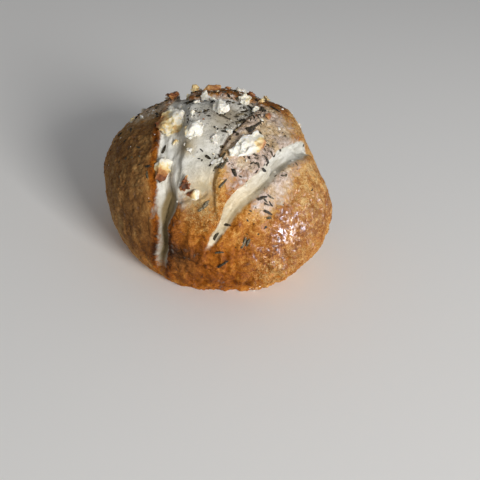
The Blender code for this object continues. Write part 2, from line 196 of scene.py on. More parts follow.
TEAR = Slash(
    (-0.755, 0.507, -0.417),
    -48 * MM,
    (
        (-2, 0.3 * MM, 0.3 * MM, 0.2 * MM),
        (12, 1.0 * MM, 0.9 * MM, 1.6 * MM),
        (45, 1.0 * MM, 1.0 * MM, 2.0 * MM),
        (72, 1.2 * MM, 1.2 * MM, 2.0 * MM),
        (98, 0.6 * MM, 0.6 * MM, 0.5 * MM),
        (108, 0.3 * MM, 0.3 * MM, 0.1 * MM),
    ),
)


def smooth_step(value, low, high):
    share = np.clip((value - low) / (high - low), 0, 1)
    return share * share * (3 - 2 * share)


def smooth_min(first, second, blend):
    share = np.clip(0.5 + 0.5 * (second - first) / blend, 0, 1)
    return second * (1 - share) + first * share - blend * share * (1 - share)


def towards(azimuth, elevation):
    """Unit vector from the heart at an azimuth and elevation in degrees."""
    azimuth, elevation = math.radians(azimuth), math.radians(elevation)
    level = math.cos(elevation)
    return np.array((level * math.cos(azimuth), level * math.sin(azimuth), math.sin(elevation)))


def patch(directions, azimuth, elevation, spread, amount):
    """A soft round patch on the loaf: the amount at its middle, fading outwards."""
    angle = np.arccos(np.clip(directions @ towards(azimuth, elevation), -1, 1))
    return amount * np.exp(-((angle / math.radians(spread)) ** 2))


def patches(directions, entries):
    return sum(patch(directions, *entry) for entry in entries)


def lumps(points, size, height):
    return height * np.array([noise.noise(Vector(point / size)) for point in points])


def wander(points):
    """The points shifted a little, so that what is measured from them runs unevenly, as torn dough does."""
    noise.seed_set(WANDER_SEED)  # without a seed, noise_vector differs from run to run
    wandered = points.copy()
    for size, reach in WANDERS:
        wandered += reach * np.array([noise.noise_vector(Vector(point / size)) for point in points])
    return wandered


def proofed_radius(directions):
    """The risen dough before it opens: a dome over a tucked-in keel, with its swells."""
    level = np.hypot(directions[:, 0], directions[:, 1])
    azimuth = np.arctan2(directions[:, 1], directions[:, 0])
    girth = np.hypot(np.cos(azimuth) / GIRTH_ACROSS, np.sin(azimuth) / GIRTH_DEEP)

    def half(rise, power):
        return ((level * girth) ** power + np.abs(directions[:, 2] / rise) ** power) ** (-1 / power)

    upper, lower = half(CROWN_RISE, CROWN_POWER), half(KEEL_DROP, KEEL_POWER)
    radius = np.where(directions[:, 2] >= 0, upper, lower)
    return radius + patches(directions, SWELLS)


def slash_relief(points, slash):
    """Height change of an opened slash: crust step, floor, raised lips and the lean of both sides."""
    across, width, depth, _ = slash.measure(points)
    inside = width - np.abs(across)
    open_share = smooth_step(depth, 0, OPEN_DEPTH)
    step = np.minimum(CRUST_STEP, depth)
    floor = (depth - step) * np.clip(inside / np.maximum(width, LEAST_WIDTH), 0, 1) ** FLOOR_BOW
    cut = step * smooth_step(inside, -CRUST_STEP_RUN / 2, CRUST_STEP_RUN / 2) + floor
    lip = LIP_HEIGHT * np.exp(-(((inside + LIP_REACH) / LIP_REACH) ** 2))
    lean = LEAN_DEPTH * np.exp(-((across / LEAN_REACH) ** 2))
    return open_share * (lip - lean) - cut


def burst_sides(points):
    """Distances in from the left, right, front, back and far right edges of the dough that burst open."""
    front_height = BURST_FRONT_HEIGHT + BURST_FRONT_SLOPE * points[:, 0]
    return (
        LEFT_SLASH.measure(points)[0] + BURST_LEFT_REACH,
        TEAR.measure(points)[0],
        (points[:, 2] - front_height) / math.hypot(1, BURST_FRONT_SLOPE),
        BURST_BACK - points[:, 1],
        BURST_RIGHT - points[:, 0],
    )


def burst_relief(points, directions):
    inside, *others = burst_sides(points)
    for side in others:
        inside = smooth_min(inside, side, BURST_CORNER)
    step = CRUST_STEP * smooth_step(inside, -CRUST_STEP_RUN / 2, CRUST_STEP_RUN / 2)
    valley = BURST_VALLEY * np.exp(-(((inside - BURST_VALLEY_AT) / BURST_VALLEY_AT) ** 2))
    rise = BURST_RISE * smooth_step(inside, BURST_RISE_FROM, BURST_RISE_TO)
    return rise - step - valley + patch(directions, *BLISTER)


def roll_points(directions):
    """Points of the crust in the given directions from the heart."""
    radius = proofed_radius(directions)
    whole = HEART + directions * radius[:, None]
    radius = radius + lumps(whole, LUMP_SIZE, LUMP_HEIGHT) + lumps(whole, DIMPLE_SIZE, DIMPLE_HEIGHT)
    uneven = wander(whole)
    reliefs = [slash_relief(uneven, slash) for slash in (LEFT_SLASH, RIGHT_SLASH, BACK_SLASH, TEAR)]
    reliefs.append(burst_relief(uneven, directions))
    radius = radius + np.minimum.reduce(reliefs) + np.maximum(np.maximum.reduce(reliefs), 0)
    board = HEART[2] / np.maximum(-directions[:, 2], LEVEL_GUARD)
    radius = np.where(directions[:, 2] < 0, smooth_min(radius, board, BASE_EDGE_ROUND), radius)
    return HEART + directions * radius[:, None]


# The loaf's mesh, closest where the slashes and the crown are, and thinned where the dough is smooth
LOAF_SUBDIVISIONS = 8
LOAF_TRIANGLES = 190000
GATHER = 0.2 * towards(-90, 65)
# Small swells of the skin: two glossy ledges low on the right, the dough that pushed up in the upper end of
# the right slash, and the foot of the tear, which closed again
LEDGES = (
    (-54, 1, 5, 1.3 * MM),
    (-61, -7.5, 5, 1.5 * MM),
    (-31, 33, 6, 1.4 * MM),
    (-91, 25, 4, 0.7 * MM),
    (-87, 38, 5, 0.6 * MM),
)
# Where the edges of the dough rounded over again as it baked: the upper ends of both front slashes
SOFTENED_PATCHES = ((-116, 40, 8, 1.0), (-126, 52, 8, 1.0), (-31, 32, 7, 1.0))
SOFTENING_ROUNDS, SOFTENING_SHARE, LEAST_SOFTENED = 40, 0.5, 0.05


def corners_of(mesh):
    corners = np.empty(len(mesh.vertices) * 3)
    mesh.vertices.foreach_get("co", corners)
    return corners.reshape(-1, 3)


def unit(vectors):
    return vectors / np.linalg.norm(vectors, axis=1)[:, None]


def keep_result(thing):
    """Replaces the object's mesh by the one that its modifiers make, and removes them."""
    bpy.context.view_layer.update()
    evaluated = thing.evaluated_get(bpy.context.evaluated_depsgraph_get())
    mesh = bpy.data.meshes.new_from_object(evaluated)
    thing.modifiers.clear()
    thing.data = mesh


def new_piece(name, shape):
    """A new object that holds a bmesh, which is then freed."""
    mesh = bpy.data.meshes.new(name)
    shape.to_mesh(mesh)
    shape.free()
    mesh.shade_smooth()
    piece = bpy.data.objects.new(name, mesh)
    bpy.context.scene.collection.objects.link(piece)
    return piece


ball = bmesh.new()
bmesh.ops.create_icosphere(ball, subdivisions=LOAF_SUBDIVISIONS, radius=1)
loaf = new_piece("baked_loaf", ball)
ways = unit(corners_of(loaf.data) + GATHER)
swollen = patches(ways, LEDGES)
loaf.data.vertices.foreach_set("co", (roll_points(ways) + ways * swollen[:, None]).ravel())
thin = loaf.modifiers.new("thin_out", "DECIMATE")
thin.ratio = LOAF_TRIANGLES / len(loaf.data.polygons)
thin.use_collapse_triangulate = True
keep_result(loaf)
weights = np.clip(patches(unit(corners_of(loaf.data) - HEART), SOFTENED_PATCHES), 0, 1)
group = loaf.vertex_groups.new(name="softened")
for index in np.flatnonzero(weights > LEAST_SOFTENED).tolist():
    group.add([index], weights[index], "REPLACE")
soften = loaf.modifiers.new("soften", "SMOOTH")
soften.vertex_group = group.name
soften.factor = SOFTENING_SHARE
soften.iterations = SOFTENING_ROUNDS
keep_result(loaf)
loaf.vertex_groups.clear()
for corner in loaf.data.vertices:
    if corner.co.z < BOARD_REACH:
        corner.co.z = 0

# What each place of the loaf's skin is like, for its relief and its colours, with the shade painted on it.
# Patches are azimuth, elevation, spread and amount.
BAKE_LEAST = 0.5
# Browner where positive, paler where negative; the wide ones on the left lobe, turned from the light, partly
# paint shade
BROWNER_PATCHES = (
    (-107, -14, 28, 0.26),
    (-83, -24, 24, 0.22),
    (-50, -14, 26, 0.12),
    (-25, 2, 18, 0.14),
    (-40, 22, 22, 0.03),
    (-57, 2, 10, 0.17),
    (-40, 16, 16, 0.04),
    (-72, 32, 9, 0.15),
    (-78, 36, 6, 0.22),
    (-15, 42, 9, 0.06),
    (-68, 5, 14, 0.2),
    (-99, 12, 8, 0.16),
    (-112, -6, 12, 0.08),
    (-30, 2, 14, 0.08),
    (-97, 25, 7, -0.2),
    (-94, 6, 7, -0.14),
    (-70, 18, 7, -0.12),
    (-105, -8, 12, 0.14),
    (-133, -4, 14, 0.11),
    (6, 57, 9, 0.2),
    (-56, 14, 4, 0.25),
    (30, 68, 14, 0.2),
    (105, 62, 20, 0.3),
    (-145, 8, 40, 0.16),
    (-158, 40, 30, 0.16),
    (100, 20, 60, 0.14),
    (30, -20, 40, 0.1),
)
ROUGH_PATCHES = (
    (-158, 36, 34, 0.8),
    (-140, 8, 24, 0.35),
    (100, 62, 42, 0.8),
    (-18, 54, 22, 0.6),
    (-68, 37, 14, 0.5),
)
SANDY_PATCHES = (
    (-158, 34, 34, 1.0),
    (-140, -5, 30, 0.9),
    (-105, -12, 8, 0.5),
    (100, 62, 42, 0.4),
    (-15, 52, 26, 0.2),
    (-42, 10, 28, 0.4),
    (-102, 20, 7, 0.7),
)
GRAINED_LEAST = 0.12
GRAINED_PATCHES = (
    (-45, 10, 34, 0.3),
    (-95, 17, 11, 0.7),
    (-60, -14, 14, 0.6),
    (0, 25, 40, 0.6),
    (120, 0, 60, 0.6),
)
DUSTED_PATCHES = (
    (-32, 54, 20, 1.25),
    (-60, 41, 15, 0.9),
    (-80, 34, 10, 0.4),
    (-14, 42, 9, -0.35),
    (-80, 54, 12, 1.0),
    (-50, 66, 12, 0.5),
    (-55, 27, 8, 0.7),
    (-66, 20, 7, 0.7),
    (-11, 65, 6, 0.6),
    (6, 54, 10, -0.3),
    (170, 42, 14, 0.9),
    (135, 60, 26, 0.5),
    (60, 45, 20, 0.4),
)
WRINKLED_PATCHES = (
    (-56, 0, 24, 1.0),
    (-54, 5, 6, -0.8),
    (-61, -3, 6, -0.7),
    (-62, -22, 20, 0.6),
    (-88, -24, 24, 0.7),
    (-100, 4, 18, 0.35),
    (-20, -10, 30, 0.5),
    (-135, -10, 30, 0.25),
    (150, -15, 50, 0.5),
)
# Herb dust and bits; on the left lobe the weak patch's dark specks also paint the shade in its small pits
HERBED_PATCHES = (
    (-50, 56, 20, 0.8),
    (-60, 47, 10, 0.8),
    (-84, 44, 7, 1.0),
    (-10, 77, 14, 1.0),
    (-135, 72, 16, 0.8),
    (-66, 20, 8, 0.7),
    (-77, 4, 4, 0.5),
    (136, 50, 14, 1.0),
    (110, 66, 30, 0.8),
    (-148, 38, 24, 0.2),
)
CRUMBED_PATCHES = (
    (-60, 72, 18, 0.3),
    (-158, 56, 18, 0.15),
    (170, 43, 12, 0.9),
    (100, 66, 40, 0.6),
    (-100, 64, 24, 0.7),
    (-65, 42, 14, 0.25),
    (-60, -37, 6, 0.8),
)
CALM_PATCHES = ((-54, 6, 7, 0.3), (-61, -3, 7, 0.3), (-38, 12, 26, 0.55))  # where the skin is drawn smooth
GLOSSY_PATCHES = (
    (-54, 5, 7, 1.0),
    (-61, -4, 6, 1.0),
    (-45, 8, 26, 0.2),
    (30, 0, 50, 0.08),
    (120, -5, 50, 0.15),
)
# Painted shade on the bare dough where it lies in shade; the small patch at (-117, 47) paints a grey-brown
# stain
SHADE_AND_STAIN_PATCHES = (
    (-117, -14, 13, 0.4),
    (-121, 9, 12, 0.6),
    (-44, 32, 6, 0.6),
    (-60, 27, 12, 0.22),
    (-80, 10, 8, 0.22),
    (-95, 27, 6, 0.3),
    (-117, 47, 4, 0.5),
    (-92, 72, 13, 0.5),
    (-60, 78, 12, 0.4),
    (-116, 52, 10, 0.25),
    (136, 50, 12, 0.6),
)
WARM_PATCHES = ((-80, 8, 22, 0.9), (-97, 27, 9, 0.9), (-115, 46, 4, 1.0), (-70, 26, 14, 0.25))
BAKED_DOUGH_PATCHES = ((-118, -28, 9, 0.9),)
SMOOTH_DOUGH_PATCHES = ((-103, 34, 8, 0.9), (-112, 60, 10, 0.5))
# Where the painted shade along the tear fades out
TEAR_SHADE_FADES = ((-72, 47, 15, 0.8), (-86, 37, 8, 0.8), (-91, 22, 4, 0.7))
SLASH_STREAKS, BURST_STREAKS = 0.7, 0.15
DOUGH_EDGE = 0.5 * MM
# Where that edge is softer, and by what share
SOFT_EDGE_PATCHES = ((-117, -6, 18, 2.5), (-52, 28, 12, 1.2), (-95, 20, 8, 1.0), (-27, 33, 7, 2.5))
BURST_FADES = (1.6 * MM, 1.6 * MM, 7 * MM, 4.5 * MM, 4 * MM)  # how softly each side of the burst ends
BURST_RETREATS = (0, 0, 1.5 * MM, 1 * MM, 1 * MM)  # how far inside each side's step it does
LIP_TOAST, LIP_TOAST_REACH = 0.12, 1.8 * MM
LEFT_LIP_TOAST, LEFT_LIP_TOAST_REACH = 0.24, 1.1 * MM
LEFT_LIP, LEFT_LIP_DEPTH = (-126, 16, 16, 1.0), 1.8 * MM
# Painted shade on the slash floors, darker the deeper they lie; on the left slash it spares the lit left wall
FLOOR_SHADE_SHARES = ((LEFT_SLASH, 1.05), (RIGHT_SLASH, 0.0), (BACK_SLASH, 0.5))  # how dark each floor gets
LEFT_WALL = (-3.0 * MM, -1.2 * MM)  # where the left slash turns from its bright left wall to its dark floor
LEFT_FLOOR_SHADE_ANGLES = (146, 162)  # and where along it the floor gets dark
TEAR_SHADE_REACH = 1.6 * MM
BURST_FOLD_ALONG = Vector((0.80, 0.34, 0.49))
BURST_FOLD_ACROSS = Vector((-0.55, 0.73, 0.41))
FLOOR_DEPTH = 5 * MM
LOAF_MIDDLE_RADIUS = 50 * MM
CRUMBS_OFF_DOUGH = 0.6


def note(mesh, name, values):
    """Keeps one number, or one vector, for each corner of the mesh, for the materials and trees to read."""
    kind, slot = ("FLOAT_VECTOR", "vector") if np.ndim(values) == 2 else ("FLOAT", "value")
    attribute = mesh.attributes.new(name, kind, "POINT")
    attribute.data.foreach_set(slot, np.ascontiguousarray(values, dtype=np.float32).ravel())


ways = unit(corners_of(loaf.data) - HEART)
whole = HEART + ways * proofed_radius(ways)[:, None]
uneven = wander(whole)
lip_depth = LEFT_LIP_DEPTH * patch(ways, *LEFT_LIP)
left, *others = burst_sides(uneven)
sides = np.array([
    smooth_step(side - retreat, -fade, fade)
    for side, fade, retreat in zip((left - lip_depth, *others), BURST_FADES, BURST_RETREATS)
])
dough = sides.min(axis=0)
strands = np.stack([whole @ BURST_FOLD_ACROSS, whole @ BURST_FOLD_ALONG, whole[:, 2] * 0], axis=1)
streaks = BURST_STREAKS * (1 - patches(ways, SMOOTH_DOUGH_PATCHES))
lips = np.zeros(len(whole))
deep = np.zeros(len(whole))
for slash, floor_shade_share in FLOOR_SHADE_SHARES:
    across, width, depth, angle = slash.measure(uneven)
    inside = width - np.abs(across)
    opened = smooth_step(depth, 0, OPEN_DEPTH)
    on_left_lip = (across < 0) & (slash is LEFT_SLASH)
    covered = inside - lip_depth * on_left_lip
    edge = DOUGH_EDGE * (1 + patches(ways, SOFT_EDGE_PATCHES))
    bare = smooth_step(covered, -edge, edge) * opened
    lip_reach = np.where(on_left_lip, LEFT_LIP_TOAST_REACH, LIP_TOAST_REACH)
    lip_toast = np.where(on_left_lip, LEFT_LIP_TOAST, LIP_TOAST)
    lips = np.maximum(lips, opened * lip_toast * np.exp(-((covered + lip_reach) / lip_reach) ** 2))
    # The painted shade of the floor, growing with its depth
    inwards = np.clip(inside / np.maximum(width, LEAST_WIDTH), 0, 1)
    if slash is LEFT_SLASH:
        inwards = np.sqrt(inwards) * smooth_step(across, *LEFT_WALL) * smooth_step(angle, *LEFT_FLOOR_SHADE_ANGLES)
    deep = np.maximum(deep, floor_shade_share * bare * inwards * depth / FLOOR_DEPTH)
    along = np.radians(angle) * LOAF_MIDDLE_RADIUS
    strands = np.where((bare > 0)[:, None], np.stack([across, along, across * 0], axis=1), strands)
    streaks = np.where(bare > 0, SLASH_STREAKS, streaks)
    dough = np.maximum(dough, bare)
dough = dough * (1 - patches(ways, BAKED_DOUGH_PATCHES))
# Painted shade along the groove of the tear, fading out in places
across, width, depth, _ = TEAR.measure(uneven)
tear = smooth_step(depth, 0, OPEN_DEPTH) * np.exp(-((across / TEAR_SHADE_REACH) ** 2))
tear = tear * (1 - patches(ways, TEAR_SHADE_FADES))

for name, values in {
    "dough": dough,
    "strands": strands,
    "streaks": streaks * dough,
    "deep": np.clip(deep + patches(ways, SHADE_AND_STAIN_PATCHES), 0, 1),
    "tear": tear,
    "warm": np.clip(patches(ways, WARM_PATCHES), 0, 1),
    "bake": BAKE_LEAST + patches(ways, BROWNER_PATCHES) + lips,
    "rough": patches(ways, ROUGH_PATCHES) * (1 - dough),
    "sandy": np.clip(patches(ways, SANDY_PATCHES), 0, 1) * (1 - lips / LEFT_LIP_TOAST),
    "grained": np.clip(GRAINED_LEAST + patches(ways, GRAINED_PATCHES), 0, 1),
    "dust": patches(ways, DUSTED_PATCHES),
    "glossy": np.clip(patches(ways, GLOSSY_PATCHES), 0, 1),
    "skin": (1 - dough) * (1 - patches(ways, CALM_PATCHES)),
    "wrinkled": patches(ways, WRINKLED_PATCHES) * (1 - dough),
    "herbed": patches(ways, HERBED_PATCHES) * (1 - streaks * dough / SLASH_STREAKS),
    "crumbed": patches(ways, CRUMBED_PATCHES) * (1 - CRUMBS_OFF_DOUGH * dough),
}.items():
    note(loaf.data, name, values)


def add(tree, kind, inputs=(), stops=(), give=0, **settings):
    """Adds a node with its settings, what feeds it and a ramp's stops, and gives one of its outputs."""
    made = tree.nodes.new(kind)
    for name, value in settings.items():
        setattr(made, name, value)
    for socket, value in dict(inputs).items():
        if isinstance(value, bpy.types.NodeSocket):
            tree.links.new(value, made.inputs[socket])
        else:
            made.inputs[socket].default_value = value
    if stops:
        ramp = made.color_ramp.elements
        while len(ramp) < len(stops):
            ramp.new(1)
        for element, (position, colour) in zip(ramp, stops):
            element.position = position
            element.color = linear(colour)
    return made.outputs[give]


def linear(colour):
    """An sRGB hex colour as the linear RGBA that the shaders take."""
    shares = [int(colour[at : at + 2], 16) / 255 for at in (1, 3, 5)]
    return (*(share / 12.92 if share <= 0.04045 else ((share + 0.055) / 1.055) ** 2.4 for share in shares), 1)


# Baked bread crust: starch and sugars browned in a dry oven. It is golden tan to deep brown with a dull
# gloss, freckled, and powdery where herb dust and cheese dried on it. The bare dough in the openings stays
# pale and matt.
BLOTCH, MOTTLE, FRECKLE, PORE, SPECK = 9 * MM, 3.2 * MM, 1.2 * MM, 0.7 * MM, 1.1 * MM
GRAIN_ROUGHNESS, NOISE_MIDDLE = 0.55, 0.5
CRUST_STOPS = (
    (0.3, "#ECC688"),
    (0.5, "#D09646"),
    (0.7, "#B26A1A"),
    (0.9, "#894808"),
    (1.1, "#562B06"),
    (1.2, "#361B05"),
)
SANDY_STOPS = (
    (0.3, "#D2B583"),
    (0.5, "#B38E5A"),
    (0.7, "#93693A"),
    (0.9, "#714A24"),
    (1.1, "#472D13"),
    (1.2, "#301D0B"),
)
LILAC_DUST_STOPS = ((0.3, "#86746A"), (0.44, "#C6B0A2"), (0.56, "#E2D2C9"), (0.7, "#F6EEEA"))
TAN_DUST_STOPS = ((0.3, "#937650"), (0.44, "#D4B489"), (0.56, "#E9D1AC"), (0.7, "#F6E9D0"))
DOUGH_STOPS = ((0.3, "#B6B1A1"), (0.42, "#D4D0C2"), (0.55, "#E6E3D9"), (0.7, "#F4F2EC"))
WARM_DOUGH_STOPS = ((0.3, "#B09A70"), (0.45, "#D6C097"), (0.6, "#E6D6B3"), (0.72, "#F2E7CE"))
HERB_DUST, HERB_DUST_SHARE = "#453A2A", 0.85
# Colour of the painted shade on the bare dough, which also paints one grey-brown stain
SHADE_AND_STAIN_DOUGH = "#84714E"
# Colour of the painted shade along the tear
TEAR_SHADE_BROWN = "#8A5E2C"
RAMP_REACH = 1.25  # the bake values that the colour ramps span
BROWNING_SHARES = (("blotch", 0.6), ("mottle", 0.4), ("freckle", 0.45))
GRAIN_SHARES = (("blotch", 0.2), ("mottle", 0.5), ("freckle", 0.4), ("pore", 0.6))  # added where grained
# Thin lines along the wrinkle ridges: paler colour there paints in their glints, and they also raise the bump
VEIN, VEIN_BREADTH, FINE_VEIN, FINE_VEIN_BREADTH = 4.2 * MM, 0.024, 2.4 * MM, 0.026
PAINTED_GLINT_PALENESS = -0.6
TAN_FROM, TAN_TO = 0.42, 0.6  # the blotches in which the dust turns from lilac to tan
DUST_MOTTLE = 0.5
DUST_RAGGEDNESS, DUST_FROM, DUST_TO, DUST_MOST = 1.4, 1.05, 1.6, 0.9
STREAK_WIDTH, STREAK_LENGTH = 1.5 * MM, 9 * MM
DOUGH_FRECKLES = 0.3
DOUGH_RAGGEDNESS, DOUGH_FROM, DOUGH_TO = 1.1, 0.65, 1.4
SPECK_FROM, SPECK_TO = 0.41, 0.35
CRUST_ROUGHNESS, DULL_CRUST_ROUGHNESS, DUST_ROUGHNESS, DOUGH_ROUGHNESS = 0.36, 0.66, 0.8, 0.55
CRUST_IOR, CRUST_SPECULAR = 1.47, 0.12
CRUST_GLAZE, GLAZE_ROUGHNESS = 0.9, 0.22
BUMP_DEPTH, VEIN_BUMP, PORE_BUMP = 0.45 * MM, 0.6, 0.5
BUMP_CHANGES = (("rough", 1.2), ("glossy", -1.1), ("grained", 0.2))  # how much stronger or weaker it is there


def new_finish(name, own_values):
    """A material, its tree and its shader; what is the same all over is set on the shader's own sockets."""
    finish = bpy.data.materials.new(name)
    finish.use_nodes = True
    shader = finish.node_tree.nodes["Principled BSDF"]
    for socket, value in own_values.items():
        shader.inputs[socket].default_value = value
    return finish, finish.node_tree, shader


def feed(shader, sources):
    """Links what varies over the surface to the shader's sockets."""
    for socket, source in sources.items():
        shader.id_data.links.new(source, shader.inputs[socket])


crust, tree, shader = new_finish(
    "baked_bread_crust",
    {"IOR": CRUST_IOR, "Specular IOR Level": CRUST_SPECULAR, "Coat Roughness": GLAZE_ROUGHNESS},
)
place = add(tree, "ShaderNodeTexCoord", give="Object")
named = {
    name: add(tree, "ShaderNodeAttribute", attribute_name=name, give="Fac")
    for name in (
        "dough", "streaks", "deep", "warm", "tear", "bake", "sandy", "rough", "grained", "dust", "glossy",
        "herbed",
    )
}
strand_place = add(tree, "ShaderNodeAttribute", attribute_name="strands", give="Vector")
noises = {}
for name, size, detail, distortion in (
    ("blotch", BLOTCH, 3, 0.3),
    ("mottle", MOTTLE, 3, 0.8),
    ("freckle", FRECKLE, 2, 1.4),
    ("pore", PORE, 1, 0.5),
    ("vein", VEIN, 3, 1.6),
    ("fine_vein", FINE_VEIN, 2, 1.4),
    ("speck", SPECK, 2, 0.8),
):
    noises[name] = add(
        tree,
        "ShaderNodeTexNoise",
        {
            "Vector": place,
            "Scale": 1 / size,
            "Detail": detail,
            "Roughness": GRAIN_ROUGHNESS,
            "Distortion": distortion,
        },
    )

browning = named["bake"]
for name, share in BROWNING_SHARES:
    centred = add(tree, "ShaderNodeMath", {0: noises[name], 1: NOISE_MIDDLE}, operation="SUBTRACT")
    browning = add(tree, "ShaderNodeMath", {0: centred, 1: share, 2: browning}, operation="MULTIPLY_ADD")
for name, share in GRAIN_SHARES:
    centred = add(tree, "ShaderNodeMath", {0: noises[name], 1: NOISE_MIDDLE}, operation="SUBTRACT")
    centred = add(tree, "ShaderNodeMath", {0: centred, 1: named["grained"]}, operation="MULTIPLY")
    browning = add(tree, "ShaderNodeMath", {0: centred, 1: share, 2: browning}, operation="MULTIPLY_ADD")
# Pale lines along the wrinkle ridges: painted glints in the colour, and relief in the bump below
ridge_glint_lines = []
for name, breadth in (("vein", VEIN_BREADTH), ("fine_vein", FINE_VEIN_BREADTH)):
    away = add(tree, "ShaderNodeMath", {0: noises[name], 1: NOISE_MIDDLE}, operation="SUBTRACT")
    away = add(tree, "ShaderNodeMath", {0: away}, operation="ABSOLUTE")
    away = add(tree, "ShaderNodeMapRange", {"Value": away, "From Max": breadth, "To Min": 1.0, "To Max": 0.0})
    ridge_glint_lines.append(away)
vein = add(tree, "ShaderNodeMath", {0: ridge_glint_lines[0], 1: ridge_glint_lines[1]}, operation="MAXIMUM")
vein = add(tree, "ShaderNodeMath", {0: vein, 1: named["grained"]}, operation="MULTIPLY")
browning = add(tree, "ShaderNodeMath", {0: vein, 1: PAINTED_GLINT_PALENESS, 2: browning}, operation="MULTIPLY_ADD")
ramped = add(tree, "ShaderNodeMath", {0: browning, 1: RAMP_REACH}, operation="DIVIDE")
golden, sandy = (
    add(tree, "ShaderNodeValToRGB", {"Fac": ramped}, [(at / RAMP_REACH, colour) for at, colour in stops])
    for stops in (CRUST_STOPS, SANDY_STOPS)
)
skin = add(tree, "ShaderNodeMix", {0: named["sandy"], 6: golden, 7: sandy}, data_type="RGBA", give=2)

powder = add(
    tree, "ShaderNodeMix", {0: DUST_MOTTLE, 2: noises["mottle"], 3: noises["freckle"]}, data_type="FLOAT"
)
lilac, tan = (
    add(tree, "ShaderNodeValToRGB", {"Fac": powder}, stops) for stops in (LILAC_DUST_STOPS, TAN_DUST_STOPS)
)
tanned = add(
    tree, "ShaderNodeMapRange", {"Value": noises["blotch"], "From Min": TAN_FROM, "From Max": TAN_TO}
)
tanned = add(tree, "ShaderNodeMath", {0: tanned, 1: named["sandy"]}, operation="MAXIMUM")
powder = add(tree, "ShaderNodeMix", {0: tanned, 6: lilac, 7: tan}, data_type="RGBA", give=2)
dusted = add(
    tree,
    "ShaderNodeMath",
    {0: noises["mottle"], 1: DUST_RAGGEDNESS, 2: named["dust"]},
    operation="MULTIPLY_ADD",
)
dusted = add(
    tree,
    "ShaderNodeMapRange",
    {"Value": dusted, "From Min": DUST_FROM, "From Max": DUST_TO, "To Max": DUST_MOST},
)
# Dust, then the painted shade along the tear
for share, colour in ((dusted, powder), (named["tear"], linear(TEAR_SHADE_BROWN))):
    skin = add(tree, "ShaderNodeMix", {0: share, 6: skin, 7: colour}, data_type="RGBA", give=2)

streaked = add(
    tree,
    "ShaderNodeVectorMath",
    {0: strand_place, 1: (1 / STREAK_WIDTH, 1 / STREAK_LENGTH, 1.0)},
    operation="MULTIPLY",
)
streaked = add(
    tree, "ShaderNodeTexNoise", {"Vector": streaked, "Scale": 1.0, "Detail": 4.0, "Distortion": 0.6}
)
pale = add(tree, "ShaderNodeMix", {0: named["streaks"], 2: noises["blotch"], 3: streaked}, data_type="FLOAT")
pale = add(tree, "ShaderNodeMix", {0: DOUGH_FRECKLES, 2: pale, 3: noises["freckle"]}, data_type="FLOAT")
cool, warm = (
    add(tree, "ShaderNodeValToRGB", {"Fac": pale}, stops) for stops in (DOUGH_STOPS, WARM_DOUGH_STOPS)
)
pale = cool
# Warm dough, then the painted shade on the dough with its one stain
for share, colour in ((named["warm"], warm), (named["deep"], linear(SHADE_AND_STAIN_DOUGH))):
    pale = add(tree, "ShaderNodeMix", {0: share, 6: pale, 7: colour}, data_type="RGBA", give=2)
bare = add(
    tree,
    "ShaderNodeMath",
    {0: noises["mottle"], 1: DOUGH_RAGGEDNESS, 2: named["dough"]},
    operation="MULTIPLY_ADD",
)
bare = add(
    tree,
    "ShaderNodeMapRange",
    {"Value": bare, "From Min": DOUGH_FROM, "From Max": DOUGH_TO},
    interpolation_type="SMOOTHSTEP",
)
specks = add(
    tree, "ShaderNodeMapRange", {"Value": noises["speck"], "From Min": SPECK_FROM, "From Max": SPECK_TO}
)
specks = add(tree, "ShaderNodeMath", {0: specks, 1: named["herbed"]}, operation="MULTIPLY", use_clamp=True)
specks = add(tree, "ShaderNodeMath", {0: specks, 1: HERB_DUST_SHARE}, operation="MULTIPLY")
for share, colour in ((bare, pale), (specks, linear(HERB_DUST))):
    skin = add(tree, "ShaderNodeMix", {0: share, 6: skin, 7: colour}, data_type="RGBA", give=2)

finishes = ((named["glossy"], CRUST_ROUGHNESS), (dusted, DUST_ROUGHNESS), (bare, DOUGH_ROUGHNESS))
dull = DULL_CRUST_ROUGHNESS
for share, roughness in finishes:
    dull = add(tree, "ShaderNodeMix", {0: share, 2: dull, 3: roughness}, data_type="FLOAT")
matt = add(tree, "ShaderNodeMath", {0: dusted, 1: bare}, operation="MAXIMUM", use_clamp=True)
glaze = add(tree, "ShaderNodeMath", {0: named["glossy"], 1: CRUST_GLAZE}, operation="MULTIPLY")
glaze = add(tree, "ShaderNodeMix", {0: matt, 2: glaze, 3: 0.0}, data_type="FLOAT")
height = add(
    tree, "ShaderNodeMix", {0: named["streaks"], 2: noises["freckle"], 3: streaked}, data_type="FLOAT"
)
for layer, share in ((vein, VEIN_BUMP), (noises["pore"], PORE_BUMP)):
    height = add(tree, "ShaderNodeMath", {0: layer, 1: share, 2: height}, operation="MULTIPLY_ADD")
rougher = 1.0
for name, share in BUMP_CHANGES:
    rougher = add(tree, "ShaderNodeMath", {0: named[name], 1: share, 2: rougher}, operation="MULTIPLY_ADD")
height = add(tree, "ShaderNodeMath", {0: height, 1: rougher}, operation="MULTIPLY")
bump = add(tree, "ShaderNodeBump", {"Height": height, "Strength": 1.0, "Distance": BUMP_DEPTH})
feed(shader, {"Base Color": skin, "Roughness": dull, "Coat Weight": glaze, "Normal": bump})

SOCKET_KINDS = {
    float: "NodeSocketFloat",
    int: "NodeSocketInt",
    str: "NodeSocketString",
    bpy.types.Material: "NodeSocketMaterial",
    bpy.types.Collection: "NodeSocketCollection",
}


